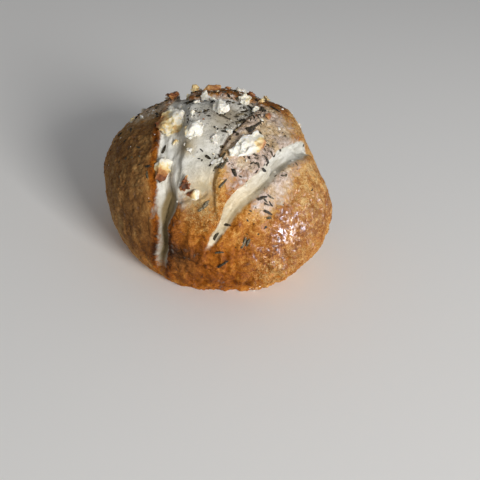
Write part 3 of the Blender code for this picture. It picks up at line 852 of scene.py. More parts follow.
def new_tree(name, wanted):
    """A Geometry Nodes tree with a geometry in and out and an input for each named value."""
    tree = bpy.data.node_groups.new(name, "GeometryNodeTree")
    tree.interface.new_socket("Geometry", in_out="INPUT", socket_type="NodeSocketGeometry")
    tree.interface.new_socket("Geometry", in_out="OUTPUT", socket_type="NodeSocketGeometry")
    for label, value in wanted.items():
        kind = next(kind for python_kind, kind in SOCKET_KINDS.items() if isinstance(value, python_kind))
        tree.interface.new_socket(label, in_out="INPUT", socket_type=kind)
    return tree, tree.nodes.new("NodeGroupInput").outputs


def move_outwards(tree, geometry, height):
    """Moves each corner out along its normal by the height there."""
    facing = add(tree, "GeometryNodeInputNormal")
    outwards = add(tree, "ShaderNodeVectorMath", {0: facing, "Scale": height}, operation="SCALE")
    return add(tree, "GeometryNodeSetPosition", {"Geometry": geometry, "Offset": outwards})


def end_tree(tree, geometry, finish):
    """Makes every instance real, because the export drops instances, and sets the material."""
    real = add(tree, "GeometryNodeRealizeInstances", {"Geometry": geometry})
    real = add(tree, "GeometryNodeSetMaterial", {"Geometry": real, "Material": finish})
    tree.links.new(real, tree.nodes.new("NodeGroupOutput").inputs["Geometry"])


def run_tree(thing, tree, wanted):
    """Runs the tree on the object with its named inputs set, and keeps the result as a plain mesh."""
    modifier = thing.modifiers.new(tree.name, "NODES")
    modifier.node_group = tree
    for socket in tree.interface.items_tree:
        if socket.name in wanted:
            modifier[socket.identifier] = wanted[socket.name]
    keep_result(thing)


# Fine relief of the skin: pimples on the crust, wrinkles low on it, sandy roughness where it dried out, and
# the stretched strands and folds of the bare dough
RELIEF = {
    "Pimple size": 1.6 * MM,
    "Pimple height": 0.45 * MM,
    "Crinkle size": 4.6 * MM,
    "Crinkle height": 1.3 * MM,
    "Sand size": 2.4 * MM,
    "Sand height": 2.6 * MM,
    "Wrinkle width": 4.6 * MM,
    "Wrinkle length": 12 * MM,
    "Wrinkle depth": 6.5 * MM,
    "Crease size": 9 * MM,
    "Crease depth": 1.3 * MM,
    "Strand width": 1.6 * MM,
    "Strand length": 9 * MM,
    "Strand height": 1.5 * MM,
    "Fold width": 6.5 * MM,
    "Fold length": 16 * MM,
    "Fold height": 5.5 * MM,
    "Swell size": 6.5 * MM,
    "Swell height": 1.3 * MM,
    "Finish": crust,
}
CREASE_BREADTH = 0.05  # in the noise's own measure, from its middle
relief, size = new_tree("skin_relief", RELIEF)
place = add(relief, "GeometryNodeInputPosition")
named = {
    name: add(relief, "GeometryNodeInputNamedAttribute", {"Name": name}, data_type="FLOAT")
    for name in ("dough", "skin", "streaks", "rough", "wrinkled")
}
strand_place = add(relief, "GeometryNodeInputNamedAttribute", {"Name": "strands"}, data_type="FLOAT_VECTOR")
total = None
for where, wide, long, height, share, detail, distortion in (
    (place, "Pimple size", "Pimple size", "Pimple height", named["skin"], 1.0, 1.0),
    (place, "Crinkle size", "Crinkle size", "Crinkle height", named["skin"], 2.0, 1.6),
    (place, "Sand size", "Sand size", "Sand height", named["rough"], 3.0, 0.6),
    (place, "Wrinkle width", "Wrinkle length", "Wrinkle depth", named["wrinkled"], 1.0, 0.5),
    (strand_place, "Strand width", "Strand length", "Strand height", named["streaks"], 2.0, 0.4),
    (strand_place, "Fold width", "Fold length", "Fold height", named["streaks"], 1.0, 0.4),
    (place, "Swell size", "Swell size", "Swell height", named["dough"], 1.0, 0.8),
):
    upright = where is place
    spread = add(
        relief,
        "ShaderNodeCombineXYZ",
        {"X": size[wide], "Y": size[wide if upright else long], "Z": size[long if upright else wide]},
    )
    scaled = add(relief, "ShaderNodeVectorMath", {0: where, 1: spread}, operation="DIVIDE")
    grain = add(
        relief,
        "ShaderNodeTexNoise",
        {"Vector": scaled, "Scale": 1.0, "Detail": detail, "Distortion": distortion},
    )
    here = add(relief, "ShaderNodeMath", {0: grain, 1: NOISE_MIDDLE}, operation="SUBTRACT")
    for factor in (size[height], share):
        here = add(relief, "ShaderNodeMath", {0: here, 1: factor}, operation="MULTIPLY")
    total = here if total is None else add(relief, "ShaderNodeMath", {0: total, 1: here}, operation="ADD")
often = add(relief, "ShaderNodeMath", {0: 1.0, 1: size["Crease size"]}, operation="DIVIDE")
contour = add(
    relief, "ShaderNodeTexNoise", {"Vector": place, "Scale": often, "Detail": 2.0, "Distortion": 1.2}
)
away = add(relief, "ShaderNodeMath", {0: contour, 1: NOISE_MIDDLE}, operation="SUBTRACT")
away = add(relief, "ShaderNodeMath", {0: away}, operation="ABSOLUTE")
crease = add(
    relief, "ShaderNodeMapRange", {"Value": away, "From Max": CREASE_BREADTH, "To Min": -1.0, "To Max": 0.0}
)
for factor in (size["Crease depth"], named["wrinkled"]):
    crease = add(relief, "ShaderNodeMath", {0: crease, 1: factor}, operation="MULTIPLY")
total = add(relief, "ShaderNodeMath", {0: total, 1: crease}, operation="ADD")
end_tree(relief, move_outwards(relief, size["Geometry"], total), size["Finish"])
run_tree(loaf, relief, RELIEF)
loaf.data.shade_smooth()
for corner in loaf.data.vertices:
    corner.co.z = max(corner.co.z, 0)
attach(loaf, "root")
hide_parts("roll")

# The feta: crumbled sheep's-milk cheese, pressed on before baking. It is chalk white and breaks along
# rounded curds. Where it stood out in the oven it dried to yellow and toasted brown. Each of the larger
# pieces is sunk a little into the crust that baked round it.
FETA_NODES = [f"feta_{number:02d}" for number in range(1, 16)]
SEATED_REACH, SEATED_DEPTH = 1.0 * MM, 1.3 * MM
WELD = 0.002 * MM
FETA_VOXEL = 0.3 * MM
TOASTED_SPOTS = (
    (-158, 48, 9, 0.75),
    (-124, 29, 7, 0.3),
    (-146, 58, 9, 0.1),
    (-129, 53, 6, 0.5),
    (-52, 45, 7, 0.95),
    (-122, 24, 7, 0.8),
    (-108, 28, 5, 0.95),
    (-104, 24, 3, 0.5),
    (104, 62, 13, 0.75),
    (142, 48, 8, 1.0),
    (30, 60, 16, 0.4),
    (-20, 62, 4, 0.7),
)

# Dry baked feta: a curd that scatters light a little below its surface and has no gloss. White to cream,
# yellow in its hollows, and brown in thin toasted patches.
FETA_STOPS = ((0.0, "#CDC19B"), (0.33, "#E4DCC8"), (0.65, "#EFECE4"))
TOAST_STOPS = ((0.0, "#F3EEDC"), (0.3, "#E4CD93"), (0.55, "#BF8A50"), (0.8, "#8A4C24"), (1.0, "#4C382B"))
FETA_LOOK = {
    "Roughness": 0.72,
    "IOR": 1.45,
    "Subsurface Weight": 0.3,
    "Subsurface Radius": (1.2, 1.0, 0.7),
    "Subsurface Scale": 0.8 * MM,
}
CURD_GRAIN, FINE_GRAIN = 2.2 * MM, 0.7 * MM
TOAST_RAGGEDNESS, TOAST_SETBACK = 0.9, 0.5
BROWN_FROM, BROWN_TO = 0.05, 0.3
FETA_BUMP, FETA_BUMP_DEPTH = 0.8, 0.15 * MM
feta, tree, shader = new_finish("dry_baked_feta", FETA_LOOK)
place = add(tree, "ShaderNodeTexCoord", give="Object")
curd = add(tree, "ShaderNodeTexNoise", {"Vector": place, "Scale": 1 / CURD_GRAIN, "Detail": 4.0})
fine = add(tree, "ShaderNodeTexNoise", {"Vector": place, "Scale": 1 / FINE_GRAIN, "Detail": 2.0})
toast = add(tree, "ShaderNodeAttribute", attribute_name="toast", give="Fac")
toast = add(tree, "ShaderNodeMath", {0: curd, 1: TOAST_RAGGEDNESS, 2: toast}, operation="MULTIPLY_ADD")
toast = add(tree, "ShaderNodeMath", {0: toast, 1: TOAST_SETBACK}, operation="SUBTRACT")
white = add(tree, "ShaderNodeValToRGB", {"Fac": curd}, FETA_STOPS)
brown = add(tree, "ShaderNodeValToRGB", {"Fac": toast}, TOAST_STOPS)
share = add(tree, "ShaderNodeMapRange", {"Value": toast, "From Min": BROWN_FROM, "From Max": BROWN_TO})
colour = add(tree, "ShaderNodeMix", {0: share, 6: white, 7: brown}, data_type="RGBA", give=2)
bump = add(tree, "ShaderNodeBump", {"Height": fine, "Strength": FETA_BUMP, "Distance": FETA_BUMP_DEPTH})
feed(shader, {"Base Color": colour, "Normal": bump})

CURDS = {
    "Lump size": 6.5 * MM,
    "Lump height": 2.0 * MM,
    "Curd size": 2.6 * MM,
    "Curd height": 0.3 * MM,
    "Break size": 4.6 * MM,
    "Break height": 2.4 * MM,
    "Grain size": 1.1 * MM,
    "Grain height": 0.5 * MM,
    "Finish": feta,
}
KNOBBLY_CURDS = {"feta_11": {"Curd height": 1.6 * MM, "Break size": 3.2 * MM, "Break height": 5.0 * MM}}
CELLS = ("ShaderNodeTexVoronoi", -1.0, 0.3)  # a pattern, and the slope and level that turn it into height
GRAINS = ("ShaderNodeTexNoise", 1.0, -NOISE_MIDDLE)
curds, size = new_tree("feta_curds", CURDS)
place = add(curds, "GeometryNodeInputPosition")
total = None
for (pattern, slope, level), wide, tall in (
    (CELLS, "Lump size", "Lump height"),
    (CELLS, "Curd size", "Curd height"),
    (GRAINS, "Break size", "Break height"),
    (GRAINS, "Grain size", "Grain height"),
):
    often = add(curds, "ShaderNodeMath", {0: 1.0, 1: size[wide]}, operation="DIVIDE")
    here = add(curds, pattern, {"Vector": place, "Scale": often})
    here = add(curds, "ShaderNodeMath", {0: here, 1: slope, 2: level}, operation="MULTIPLY_ADD")
    here = add(curds, "ShaderNodeMath", {0: here, 1: size[tall]}, operation="MULTIPLY")
    total = here if total is None else add(curds, "ShaderNodeMath", {0: total, 1: here}, operation="ADD")
end_tree(curds, move_outwards(curds, size["Geometry"], total), size["Finish"])

for name in FETA_NODES:
    shape = bmesh.new()
    shape.from_mesh(bpy.data.objects[name].data)
    bmesh.ops.remove_doubles(shape, verts=shape.verts, dist=WELD)
    for corner in shape.verts:
        _, place, out, _ = loaf.closest_point_on_mesh(corner.co)
        if (corner.co - place).length < SEATED_REACH:
            corner.co = place - out * SEATED_DEPTH
    piece = new_piece(f"{name}_curd", shape)
    close = piece.modifiers.new("close_up", "REMESH")
    close.mode = "VOXEL"
    close.voxel_size = FETA_VOXEL
    keep_result(piece)
    run_tree(piece, curds, {**CURDS, **KNOBBLY_CURDS.get(name, {})})
    piece.data.shade_smooth()
    note(piece.data, "toast", patches(unit(corners_of(piece.data) - HEART), TOASTED_SPOTS))
    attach(piece, "root")
    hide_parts(name)

# The small toppings: dried rosemary leaves and feta crumbs, strewn over the wet dough and baked fast to it.
# Those of the front lie where they show, and the rest are spread evenly over the crown and the back by the
# golden angle. Angles are in degrees and sizes in millimetres: azimuth, elevation, heading, length, width.
FETA_SEATS = (
    (-151, 55, 118, 18.5, 14.5),
    (-116, 56, 98, 13, 10),
    (-97, 79, 100, 9, 8),
    (-68, 49, 26, 19.5, 11),
    (-125, 31, 100, 14, 6.5),
    (38, 74, -60, 9, 7),
    (139, 75, 30, 7, 6),
    (122, 56, 20, 7, 6.5),
    (142, 48, 40, 10.5, 8),
    (106, 64, 175, 9.5, 5.6),
    (-108, 28, 30, 7.5, 6.5),
    (-102, 24, 40, 8, 5.6),
    (75, 38, 30, 10, 8.5),
    (106, 33, -30, 9, 7),
    (128, 35, 10, 9, 7.5),
)
FETA_FOOTING = 0.35
LEAVES_SHOWN = (
    (-85, -8, 43, 6.4),
    (-87, -2, 5, 4.2),
    (-89, 5, 62, 4.2),
    (-84, 11, 4, 4.8),
    (-96, 19, 42, 5.6),
    (-95, 21, 50, 4.0),
    (-87, 31, 50, 5.4),
    (-76, 3, 71, 6.0),
    (-74, 3, 66, 4.6),
    (-133, 41, 106, 4.6),
    (-87, 40, 61, 6.0),
    (-80, 36, -74, 3.8),
    (-88, 72, -13, 5.2),
    (-57, 69, 8, 5.6),
    (-44, 62, 10, 6.6),
    (-47, 54, -85, 5.4),
    (-60, 43, -16, 4.4),
    (0, 71, 35, 6.4),
    (-60, 36, -36, 3.0),
    (-130, 26, 121, 4.4),
    (-66, 23, 10, 5.0),
    (-64, 16, -35, 4.6),
)
CRUMBS_SHOWN = (  # azimuth, elevation, size
    (-95, 55, 5.8),
    (-90, 41, 5.8),
    (-163, 55, 4.6),
    (-80, 61, 4.4),
    (88, 63, 5.4),
    (38, 56, 5.6),
    (152, 45, 4.6),
    (-135, 66, 4.2),
    (-112, 45, 3.6),
    (-128, 47, 4.0),
    (170, 62, 4.4),
    (-20, 62, 4.0),
)
LEAVES_TUCKED = (
    (-87, 73, -9, 5.0, 1.3),
    (-54, 61, 7, 5.6, 2.8),
    (-53, 70, 14, 4.4, 1.3),
    (-48, 55.6, -108, 3.4, 1.7),
    (-50, 52, 9, 2.8, 1.4),
    (-98, 43.6, -29, 3.0, 1.5),
    (-89, 39.6, -116, 3.4, 1.2),
    (-87, 45, 53, 3.6, 1.6),
    (-81, 36, -67, 4.0, 1.1),
    (-57, 38.6, -43, 2.6, 1.6),
    (157, 67.6, 121, 5.0, 1.5),
    (150, 76.6, 63, 5.0, 1.4),
    (1, 71.3, -28, 6.0, 1.1),
    (4, 72, -160, 6.5, 1.0),
    (-7, 66.3, -149, 4.6, 1.2),
    (-73, 58.3, -126, 2.0, 1.5),
    (-16, 75.3, -26, 5.5, 1.1),
    (-65, 22.2, -60, 3.6, 1.0),
    (-61, 22.9, -39, 4.0, 0.8),
    (-64, 19.9, -30, 3.4, 0.8),
    (-61, 19.5, -61, 3.2, 0.9),
)
# Before those drop out that would lie on the shown front or on the feta
LEAVES_SCATTERED, LEAF_LENGTHS = 56, (3.8, 7.0)
CRUMBS_SCATTERED, CRUMB_SIZES = 40, (2.6, 4.6)
SCATTER_ELEVATIONS = (26, 88)
SHOWN_AZIMUTHS, SHOWN_BELOW = (-165, 15), 58
GOLDEN_ANGLE = 137.508
TOPPING_FOOTING = 1.5 * MM
CLEARANCE = 0.6 * MM
SEED = 4


def seat(azimuth, elevation, heading, footing):
    """Frame on the crust: x along the heading, z out of the crust as it lies over the footing's reach."""
    out = towards(azimuth, elevation)
    east = np.array((-math.sin(math.radians(azimuth)), math.cos(math.radians(azimuth)), 0))
    north = np.cross(out, east)
    span = footing / CROWN_RISE
    ways = unit(np.array((out, out + span * east, out - span * east, out + span * north, out - span * north)))
    place, right, left, upper, lower = roll_points(ways)
    normal = Vector(np.cross(right - left, upper - lower)).normalized()
    north = normal.cross(Vector(right - left)).normalized()
    east = north.cross(normal)
    along = east * math.cos(math.radians(heading)) + north * math.sin(math.radians(heading))
    return Matrix.Translation(place) @ Matrix((along, normal.cross(along), normal)).transposed().to_4x4()


def onto_loaf(frame):
    """The same frame, moved to the nearest place on the loaf's finished mesh."""
    frame.translation = loaf.closest_point_on_mesh(frame.translation)[1]
    return frame


feta_frames = []
for azimuth, elevation, heading, length, width in FETA_SEATS:
    frame = seat(azimuth, elevation, heading, length * MM * FETA_FOOTING)
    feta_frames.append((frame.inverted(), length * MM / 2, width * MM / 2))


def clear_of_feta(place, reach):
    """Whether a small topping that reaches this far lies outside every feta piece's outline."""
    for into, long_reach, wide_reach in feta_frames:
        offset = into @ place
        long, wide = long_reach + reach, wide_reach + reach
        if math.hypot(offset.x / long, offset.y / wide, offset.z / long) < 1:
            return False
    return True


def topping_places():
    """Kind, frame and size in millimetres: those that show, then a spread by the golden angle."""
    draw = random.Random(SEED)
    places = [("leaf", *entry) for entry in LEAVES_SHOWN]
    for azimuth, elevation, size in CRUMBS_SHOWN:
        places.append(("crumb", azimuth, elevation, draw.uniform(0, 360), size))
    low, high = (math.sin(math.radians(limit)) for limit in SCATTER_ELEVATIONS)
    count = LEAVES_SCATTERED + CRUMBS_SCATTERED
    for index in range(count):
        kind = "leaf" if index * LEAVES_SCATTERED % count < LEAVES_SCATTERED else "crumb"
        elevation = math.degrees(math.asin(low + (high - low) * (index + 0.5) / count))
        sizes = LEAF_LENGTHS if kind == "leaf" else CRUMB_SIZES
        azimuth = index * GOLDEN_ANGLE % 360 - 180
        heading, size = draw.uniform(0, 360), draw.uniform(*sizes)
        if elevation > SHOWN_BELOW or not SHOWN_AZIMUTHS[0] < azimuth < SHOWN_AZIMUTHS[1]:
            places.append((kind, azimuth, elevation, heading, size))
    for kind, azimuth, elevation, heading, size in places:
        frame = seat(azimuth, elevation, heading, TOPPING_FOOTING)
        if clear_of_feta(frame.translation, size * MM / 2 + CLEARANCE):
            yield kind, onto_loaf(frame), size


small_places = list(topping_places())

# Dried rosemary: a stiff narrow leaf with its edges rolled under, a groove along the top and one end broken
# off. Baking turned it from grey-green to a dull dark olive brown.
LEAF_WIDTH, LEAF_WIDTHS, LEAF_THICK = 1.4 * MM, (0.75, 1.1), 0.8 * MM
LEAF_SECTION = ((-1, -0.1), (-0.62, 0.85), (0, 0.5), (0.62, 0.85), (1, -0.1), (0.45, -0.8), (-0.45, -0.8))
LEAF_STATIONS = ((0, 0.62), (0.08, 0.9), (0.35, 1.0), (0.65, 0.9), (0.88, 0.6), (1, 0.16))
LEAF_CORNERS = len(LEAF_SECTION) * len(LEAF_STATIONS)
LEAF_LIFT = 0.22 * MM
LEAF_BEND = 0.07
LEAF_SHADES, TUCKED_SHADES = (0, 1), (0, 0.6)
LEAF_STOPS = ((0.25, "#1E1912"), (0.45, "#3C3325"), (0.62, "#62573F"), (0.8, "#9A8E74"))


def leaf_onto(shape, frame, length, bend, width):
    """Adds one leaf: rings of its section along a slight bend, closed at both ends."""
    rings = []
    for along, wide in LEAF_STATIONS:
        arch = bend * length * (4 * along * (1 - along) - 0.5)
        ring = []
        for across, up in LEAF_SECTION:
            corner = Vector((
                (along - 0.5) * length,
                across * wide * width / 2 + arch,
                up * wide * LEAF_THICK / 2 + LEAF_LIFT,
            ))
            ring.append(shape.verts.new(frame @ corner))
        rings.append(ring)
    count = len(LEAF_SECTION)
    for near, far in zip(rings, rings[1:]):
        for side in range(count):
            after = (side + 1) % count
            shape.faces.new((near[side], near[after], far[after], far[side]))
    shape.faces.new(reversed(rings[0]))
    shape.faces.new(rings[-1])


draw = random.Random(SEED)
leaves = bmesh.new()
shades = []
for kind, frame, length in small_places:
    if kind == "leaf":
        bend, width = draw.gauss(0, LEAF_BEND), LEAF_WIDTH * draw.uniform(*LEAF_WIDTHS)
        leaf_onto(leaves, frame, length * MM, bend, width)
        shades += [draw.uniform(*LEAF_SHADES)] * LEAF_CORNERS
for azimuth, elevation, heading, length, width in LEAVES_TUCKED:
    frame = onto_loaf(seat(azimuth, elevation, heading, TOPPING_FOOTING))
    leaf_onto(leaves, frame, length * MM, draw.gauss(0, LEAF_BEND), width * MM)
    shades += [draw.uniform(*TUCKED_SHADES)] * LEAF_CORNERS
bmesh.ops.recalc_face_normals(leaves, faces=leaves.faces)
rosemary = new_piece("rosemary_leaves", leaves)
note(rosemary.data, "shade", shades)

# Dried rosemary's skin is dull, with a faint waxy sheen on the ribs and pale down in the groove.
LEAF_GRAIN = 0.8 * MM
LEAF_CONTRAST, LEAF_DARKENING = 0.35, 0.17
LEAF_BUMP, LEAF_BUMP_DEPTH = 0.7, 0.15 * MM
herb, tree, shader = new_finish("dried_rosemary", {"Roughness": 0.7, "Specular IOR Level": 0.2})
place = add(tree, "ShaderNodeTexCoord", give="Object")
grain = add(tree, "ShaderNodeTexNoise", {"Vector": place, "Scale": 1 / LEAF_GRAIN, "Detail": 3.0})
shade = add(tree, "ShaderNodeAttribute", attribute_name="shade", give="Fac")
tone = add(tree, "ShaderNodeMath", {0: shade, 1: LEAF_CONTRAST, 2: grain}, operation="MULTIPLY_ADD")
tone = add(tree, "ShaderNodeMath", {0: tone, 1: LEAF_DARKENING}, operation="SUBTRACT")
colour = add(tree, "ShaderNodeValToRGB", {"Fac": tone}, LEAF_STOPS)
bump = add(tree, "ShaderNodeBump", {"Height": grain, "Strength": LEAF_BUMP, "Distance": LEAF_BUMP_DEPTH})
feed(shader, {"Base Color": colour, "Normal": bump})
rosemary.data.materials.append(herb)
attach(rosemary, "root")
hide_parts("roll")

# Small feta crumbs: broken curds of 3 to 6 mm that fell off the larger pieces as they were crumbled, and
# baked fast where they lay. They are knobbly, with a few flat breaks, and some are toasted through.
CRUMB_BREADTH, CRUMB_FLATNESS, CRUMB_SINK = 0.85, 0.65, 0.25
CRUMB_SUBDIVISIONS = 4
KNOBS, KNOB_SHIFT = ((3, 0.4), (7, 0.2), (15, 0.1)), 50
CRUMB_BREAKS, BREAK_REACH = 7, (0.26, 0.42)
TOASTED_SHARE, TOASTED_CRUMB, PLAIN_CRUMB = 0.22, (0.2, 0.6), 0.05
SMALL_CURDS = {
    "Lump height": 0.3 * MM,
    "Curd size": 1.5 * MM,
    "Curd height": 0.8 * MM,
    "Break size": 2.2 * MM,
    "Break height": 1.8 * MM,
    "Grain size": 0.8 * MM,
    "Grain height": 0.4 * MM,
}


def crumb_shape(sizes, draw):
    """A broken curd: a knobbly lump with a few flat faces, about the origin."""
    shape = bmesh.new()
    bmesh.ops.create_icosphere(shape, subdivisions=CRUMB_SUBDIVISIONS, radius=0.5)
    planes = []
    for _ in range(CRUMB_BREAKS):
        facing = Vector([draw.gauss(0, 1) for _ in range(3)]).normalized()
        planes.append((facing, draw.uniform(*BREAK_REACH)))
    shift = Vector([draw.uniform(0, KNOB_SHIFT) for _ in range(3)])
    for corner in shape.verts:
        knob = sum(share * noise.noise(corner.co * often + shift) for often, share in KNOBS)
        place = corner.co * (1 + knob)
        for facing, reach in planes:
            place = place - facing * max(place.dot(facing) - reach, 0)
        corner.co = place
    bmesh.ops.scale(shape, vec=sizes, verts=shape.verts)
    return shape


crumbs = bmesh.new()
toasts = []
for kind, frame, size in small_places:
    if kind == "crumb":
        sizes = [size * MM * share for share in (1, CRUMB_BREADTH, CRUMB_FLATNESS)]
        lump = crumb_shape(sizes, draw)
        lump.transform(frame @ Matrix.Translation((0, 0, sizes[2] * (0.5 - CRUMB_SINK))))
        mesh = bpy.data.meshes.new("crumb")
        lump.to_mesh(mesh)
        toast = draw.uniform(*TOASTED_CRUMB) if draw.random() < TOASTED_SHARE else PLAIN_CRUMB
        toasts += [toast] * len(lump.verts)
        lump.free()
        crumbs.from_mesh(mesh)
        bpy.data.meshes.remove(mesh)
small_feta = new_piece("small_feta_crumbs", crumbs)
run_tree(small_feta, curds, {**CURDS, **SMALL_CURDS})
small_feta.data.shade_smooth()
spots = patches(unit(corners_of(small_feta.data) - HEART), TOASTED_SPOTS)
note(small_feta.data, "toast", np.array(toasts) + spots)
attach(small_feta, "root")
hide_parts("roll")

# What fell with them: broken bits of rosemary under 3 mm and fine crumbs of feta and crust under 2 mm, caught
# on the rough parts of the crown.
SIDES_ROUND, SIDES_UP = 6, 4
BIT_VARIANTS = 5
BIT_KNOB, BIT_KNOBS_OFTEN, BIT_SHIFT = 0.9, 3, 7.3
CLUMP_SIZE, CLUMP_FROM, CLUMP_TO = 8 * MM, 0.42, 0.62
BIT_TILT = 0.3
SMALL_BITS, FEW_TOASTED = 2.0, 5.0  # powers of an even draw
BIT_SHADES = 0.6


def bit_shapes(name, stretch):
    """A collection of small faceted bits, one unit long, for strewing."""
    kinds = bpy.data.collections.new(name)
    for variant in range(BIT_VARIANTS):
        shape = bmesh.new()
        bmesh.ops.create_uvsphere(shape, u_segments=SIDES_ROUND, v_segments=SIDES_UP, radius=0.5)
        shift = Vector((variant * BIT_SHIFT, 0, 0))
        for corner in shape.verts:
            corner.co *= 1 + BIT_KNOB * noise.noise(corner.co * BIT_KNOBS_OFTEN + shift)
        bmesh.ops.scale(shape, vec=stretch, verts=shape.verts)
        mesh = bpy.data.meshes.new(f"{name}_{variant}")
        shape.to_mesh(mesh)
        shape.free()
        kinds.objects.link(bpy.data.objects.new(f"{name}_{variant}", mesh))
    return kinds


def strew(name, wanted):
    """Bits strewn over the loaf where the named attribute is high, each turned and sized at random."""
    tree, value = new_tree(name, wanted)
    steps = (1.0, 2.0, 3.0, 4.0)
    seeds = [add(tree, "ShaderNodeMath", {0: value["Seed"], 1: step}, operation="ADD") for step in steps]
    where = add(tree, "GeometryNodeInputNamedAttribute", {"Name": value["Where"]}, data_type="FLOAT")
    often = add(tree, "ShaderNodeMath", {0: 1.0, 1: value["Clump size"]}, operation="DIVIDE")
    clump = add(tree, "ShaderNodeTexNoise", {"Scale": often, "Detail": 1.0})
    clump = add(tree, "ShaderNodeMapRange", {"Value": clump, "From Min": CLUMP_FROM, "From Max": CLUMP_TO})
    dense = add(tree, "ShaderNodeMath", {0: where, 1: clump}, operation="MULTIPLY")
    dense = add(tree, "ShaderNodeMath", {0: dense, 1: value["Density"]}, operation="MULTIPLY")
    points = add(
        tree,
        "GeometryNodeDistributePointsOnFaces",
        {"Mesh": value["Geometry"], "Density": dense, "Seed": value["Seed"]},
    )
    kinds = add(
        tree, "GeometryNodeCollectionInfo", {"Collection": value["Shapes"], "Separate Children": True}
    )
    choice = add(
        tree,
        "FunctionNodeRandomValue",
        {"Min": 0, "Max": BIT_VARIANTS - 1, "Seed": seeds[0]},
        data_type="INT",
        give="Value",
    )
    spin = add(
        tree,
        "FunctionNodeRandomValue",
        {"Min": (-BIT_TILT, -BIT_TILT, 0.0), "Max": (BIT_TILT, BIT_TILT, math.tau), "Seed": seeds[1]},
        data_type="FLOAT_VECTOR",
        give="Value",
    )
    spin = add(tree, "FunctionNodeEulerToRotation", {0: spin})
    turned = add(
        tree,
        "FunctionNodeRotateRotation",
        {0: points.node.outputs["Rotation"], 1: spin},
        rotation_space="LOCAL",
    )
    grown = add(tree, "FunctionNodeRandomValue", {"Seed": seeds[2]}, data_type="FLOAT", give="Value")
    grown = add(tree, "ShaderNodeMath", {0: grown, 1: SMALL_BITS}, operation="POWER")
    grown = add(
        tree, "ShaderNodeMapRange", {"Value": grown, "To Min": value["Least"], "To Max": value["Most"]}
    )
    strewn = add(
        tree,
        "GeometryNodeInstanceOnPoints",
        {
            "Points": points,
            "Instance": kinds,
            "Pick Instance": True,
            "Instance Index": choice,
            "Rotation": turned,
            "Scale": grown,
        },
    )
    tone = add(tree, "FunctionNodeRandomValue", {"Seed": seeds[3]}, data_type="FLOAT", give="Value")
    toast = add(tree, "ShaderNodeMath", {0: tone, 1: FEW_TOASTED}, operation="POWER")
    shade = add(tree, "ShaderNodeMath", {0: tone, 1: BIT_SHADES}, operation="MULTIPLY")
    for attribute, amount in (("shade", shade), ("toast", toast)):
        strewn = add(
            tree,
            "GeometryNodeStoreNamedAttribute",
            {"Geometry": strewn, "Name": attribute, "Value": amount},
            data_type="FLOAT",
            domain="INSTANCE",
        )
    end_tree(tree, strewn, value["Finish"])
    piece = bpy.data.objects.new(name, loaf.data.copy())
    bpy.context.scene.collection.objects.link(piece)
    run_tree(piece, tree, wanted)
    piece.data.shade_flat()
    for kind in list(wanted["Shapes"].objects):
        bpy.data.objects.remove(kind, do_unlink=True)
    bpy.data.collections.remove(wanted["Shapes"])
    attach(piece, "root")
    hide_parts("roll")
    return piece


strew(
    "rosemary_bits",
    {
        "Where": "herbed",
        "Density": 4e5,
        "Clump size": CLUMP_SIZE,
        "Least": 0.6 * MM,
        "Most": 3.2 * MM,
        "Seed": 11,
        "Shapes": bit_shapes("rosemary_bit", (1, 0.46, 0.3)),
        "Finish": herb,
    },
)
fine_crumbs = strew(
    "fine_crumbs",
    {
        "Where": "crumbed",
        "Density": 1.8e5,
        "Clump size": CLUMP_SIZE,
        "Least": 0.4 * MM,
        "Most": 1.9 * MM,
        "Seed": 12,
        "Shapes": bit_shapes("fine_crumb", (1, 0.8, 0.5)),
        "Finish": feta,
    },
)

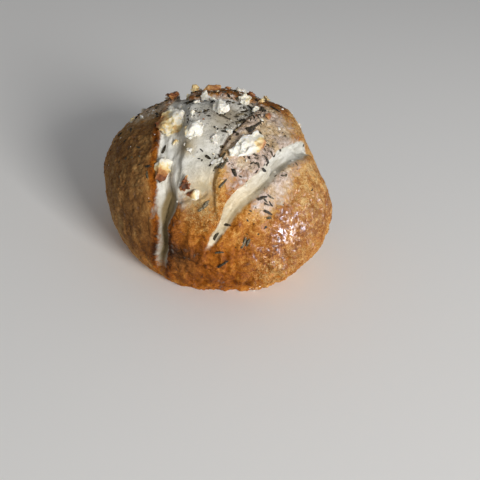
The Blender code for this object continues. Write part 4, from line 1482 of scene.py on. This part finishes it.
# The studio: a pale matt floor, one large soft light from the upper right in front, a low cool window on the
# right that shows in the gloss alone, and weak light all round. The camera looks down on the crown as the
# photograph does.
FLOOR_SIDE, FLOOR_PALE, FLOOR_ROUGHNESS = 4.0, "#F0EEEA", 0.85
LIGHTS = (  # name, place, size, power, colour, and whether it lights more than the gloss
    ("soft_key", (0.75, -1.22, 0.6), 0.5, 22, "#FFFFFF", True),
    ("low_window", (0.91, -0.40, 0.09), 0.2, 22, "#DDE6FF", False),
)
ROOM_LIGHT, ROOM_COLOUR = 0.27, "#F2F4F8"
CAMERA_ELEVATION, CAMERA_DISTANCE, CAMERA_TILT = 30, 357 * MM, 4
CAMERA_LENS = 52.65
AIM = Vector((0, 0, 40 * MM))
AIM_PIXEL, FRAME_MIDDLE, FOCAL_PIXELS = (218, 177), 240, 702

sheet = bmesh.new()
bmesh.ops.create_grid(sheet, x_segments=1, y_segments=1, size=FLOOR_SIDE / 2)
floor = new_piece("floor", sheet)
paint, _, _ = new_finish("matt_pale_paint", {"Base Color": linear(FLOOR_PALE), "Roughness": FLOOR_ROUGHNESS})
floor.data.materials.append(paint)

for name, place, size, power, tint, diffuse in LIGHTS:
    light = bpy.data.objects.new(name, bpy.data.lights.new(name, "AREA"))
    bpy.context.scene.collection.objects.link(light)
    light.data.energy = power
    light.data.size = size
    light.data.color = linear(tint)[:3]
    light.location = place
    light.rotation_euler = (AIM - Vector(place)).to_track_quat("-Z", "Y").to_euler()
    light.visible_diffuse = diffuse

room = bpy.data.worlds.new("room")
room.use_nodes = True
backdrop = room.node_tree.nodes["Background"].inputs
backdrop["Color"].default_value = linear(ROOM_COLOUR)
backdrop["Strength"].default_value = ROOM_LIGHT
bpy.context.scene.world = room

camera = bpy.data.objects.new("camera", bpy.data.cameras.new("camera"))
bpy.context.scene.collection.objects.link(camera)
camera.data.lens = CAMERA_LENS
camera.data.clip_start = 10 * MM
rise = math.radians(CAMERA_ELEVATION)
eye = AIM + CAMERA_DISTANCE * Vector((0, -math.cos(rise), math.sin(rise)))
turn = (AIM - eye).to_track_quat("-Z", "Y").to_matrix() @ Matrix.Rotation(math.radians(CAMERA_TILT), 3, "Z")
seen_at = Vector((AIM_PIXEL[0] - FRAME_MIDDLE, FRAME_MIDDLE - AIM_PIXEL[1], -FOCAL_PIXELS)).normalized()
turn = turn @ seen_at.rotation_difference(Vector((0, 0, -1))).to_matrix()
camera.matrix_world = Matrix.Translation(eye) @ turn.to_4x4()
bpy.context.scene.camera = camera
bpy.context.scene.view_settings.view_transform = "Standard"
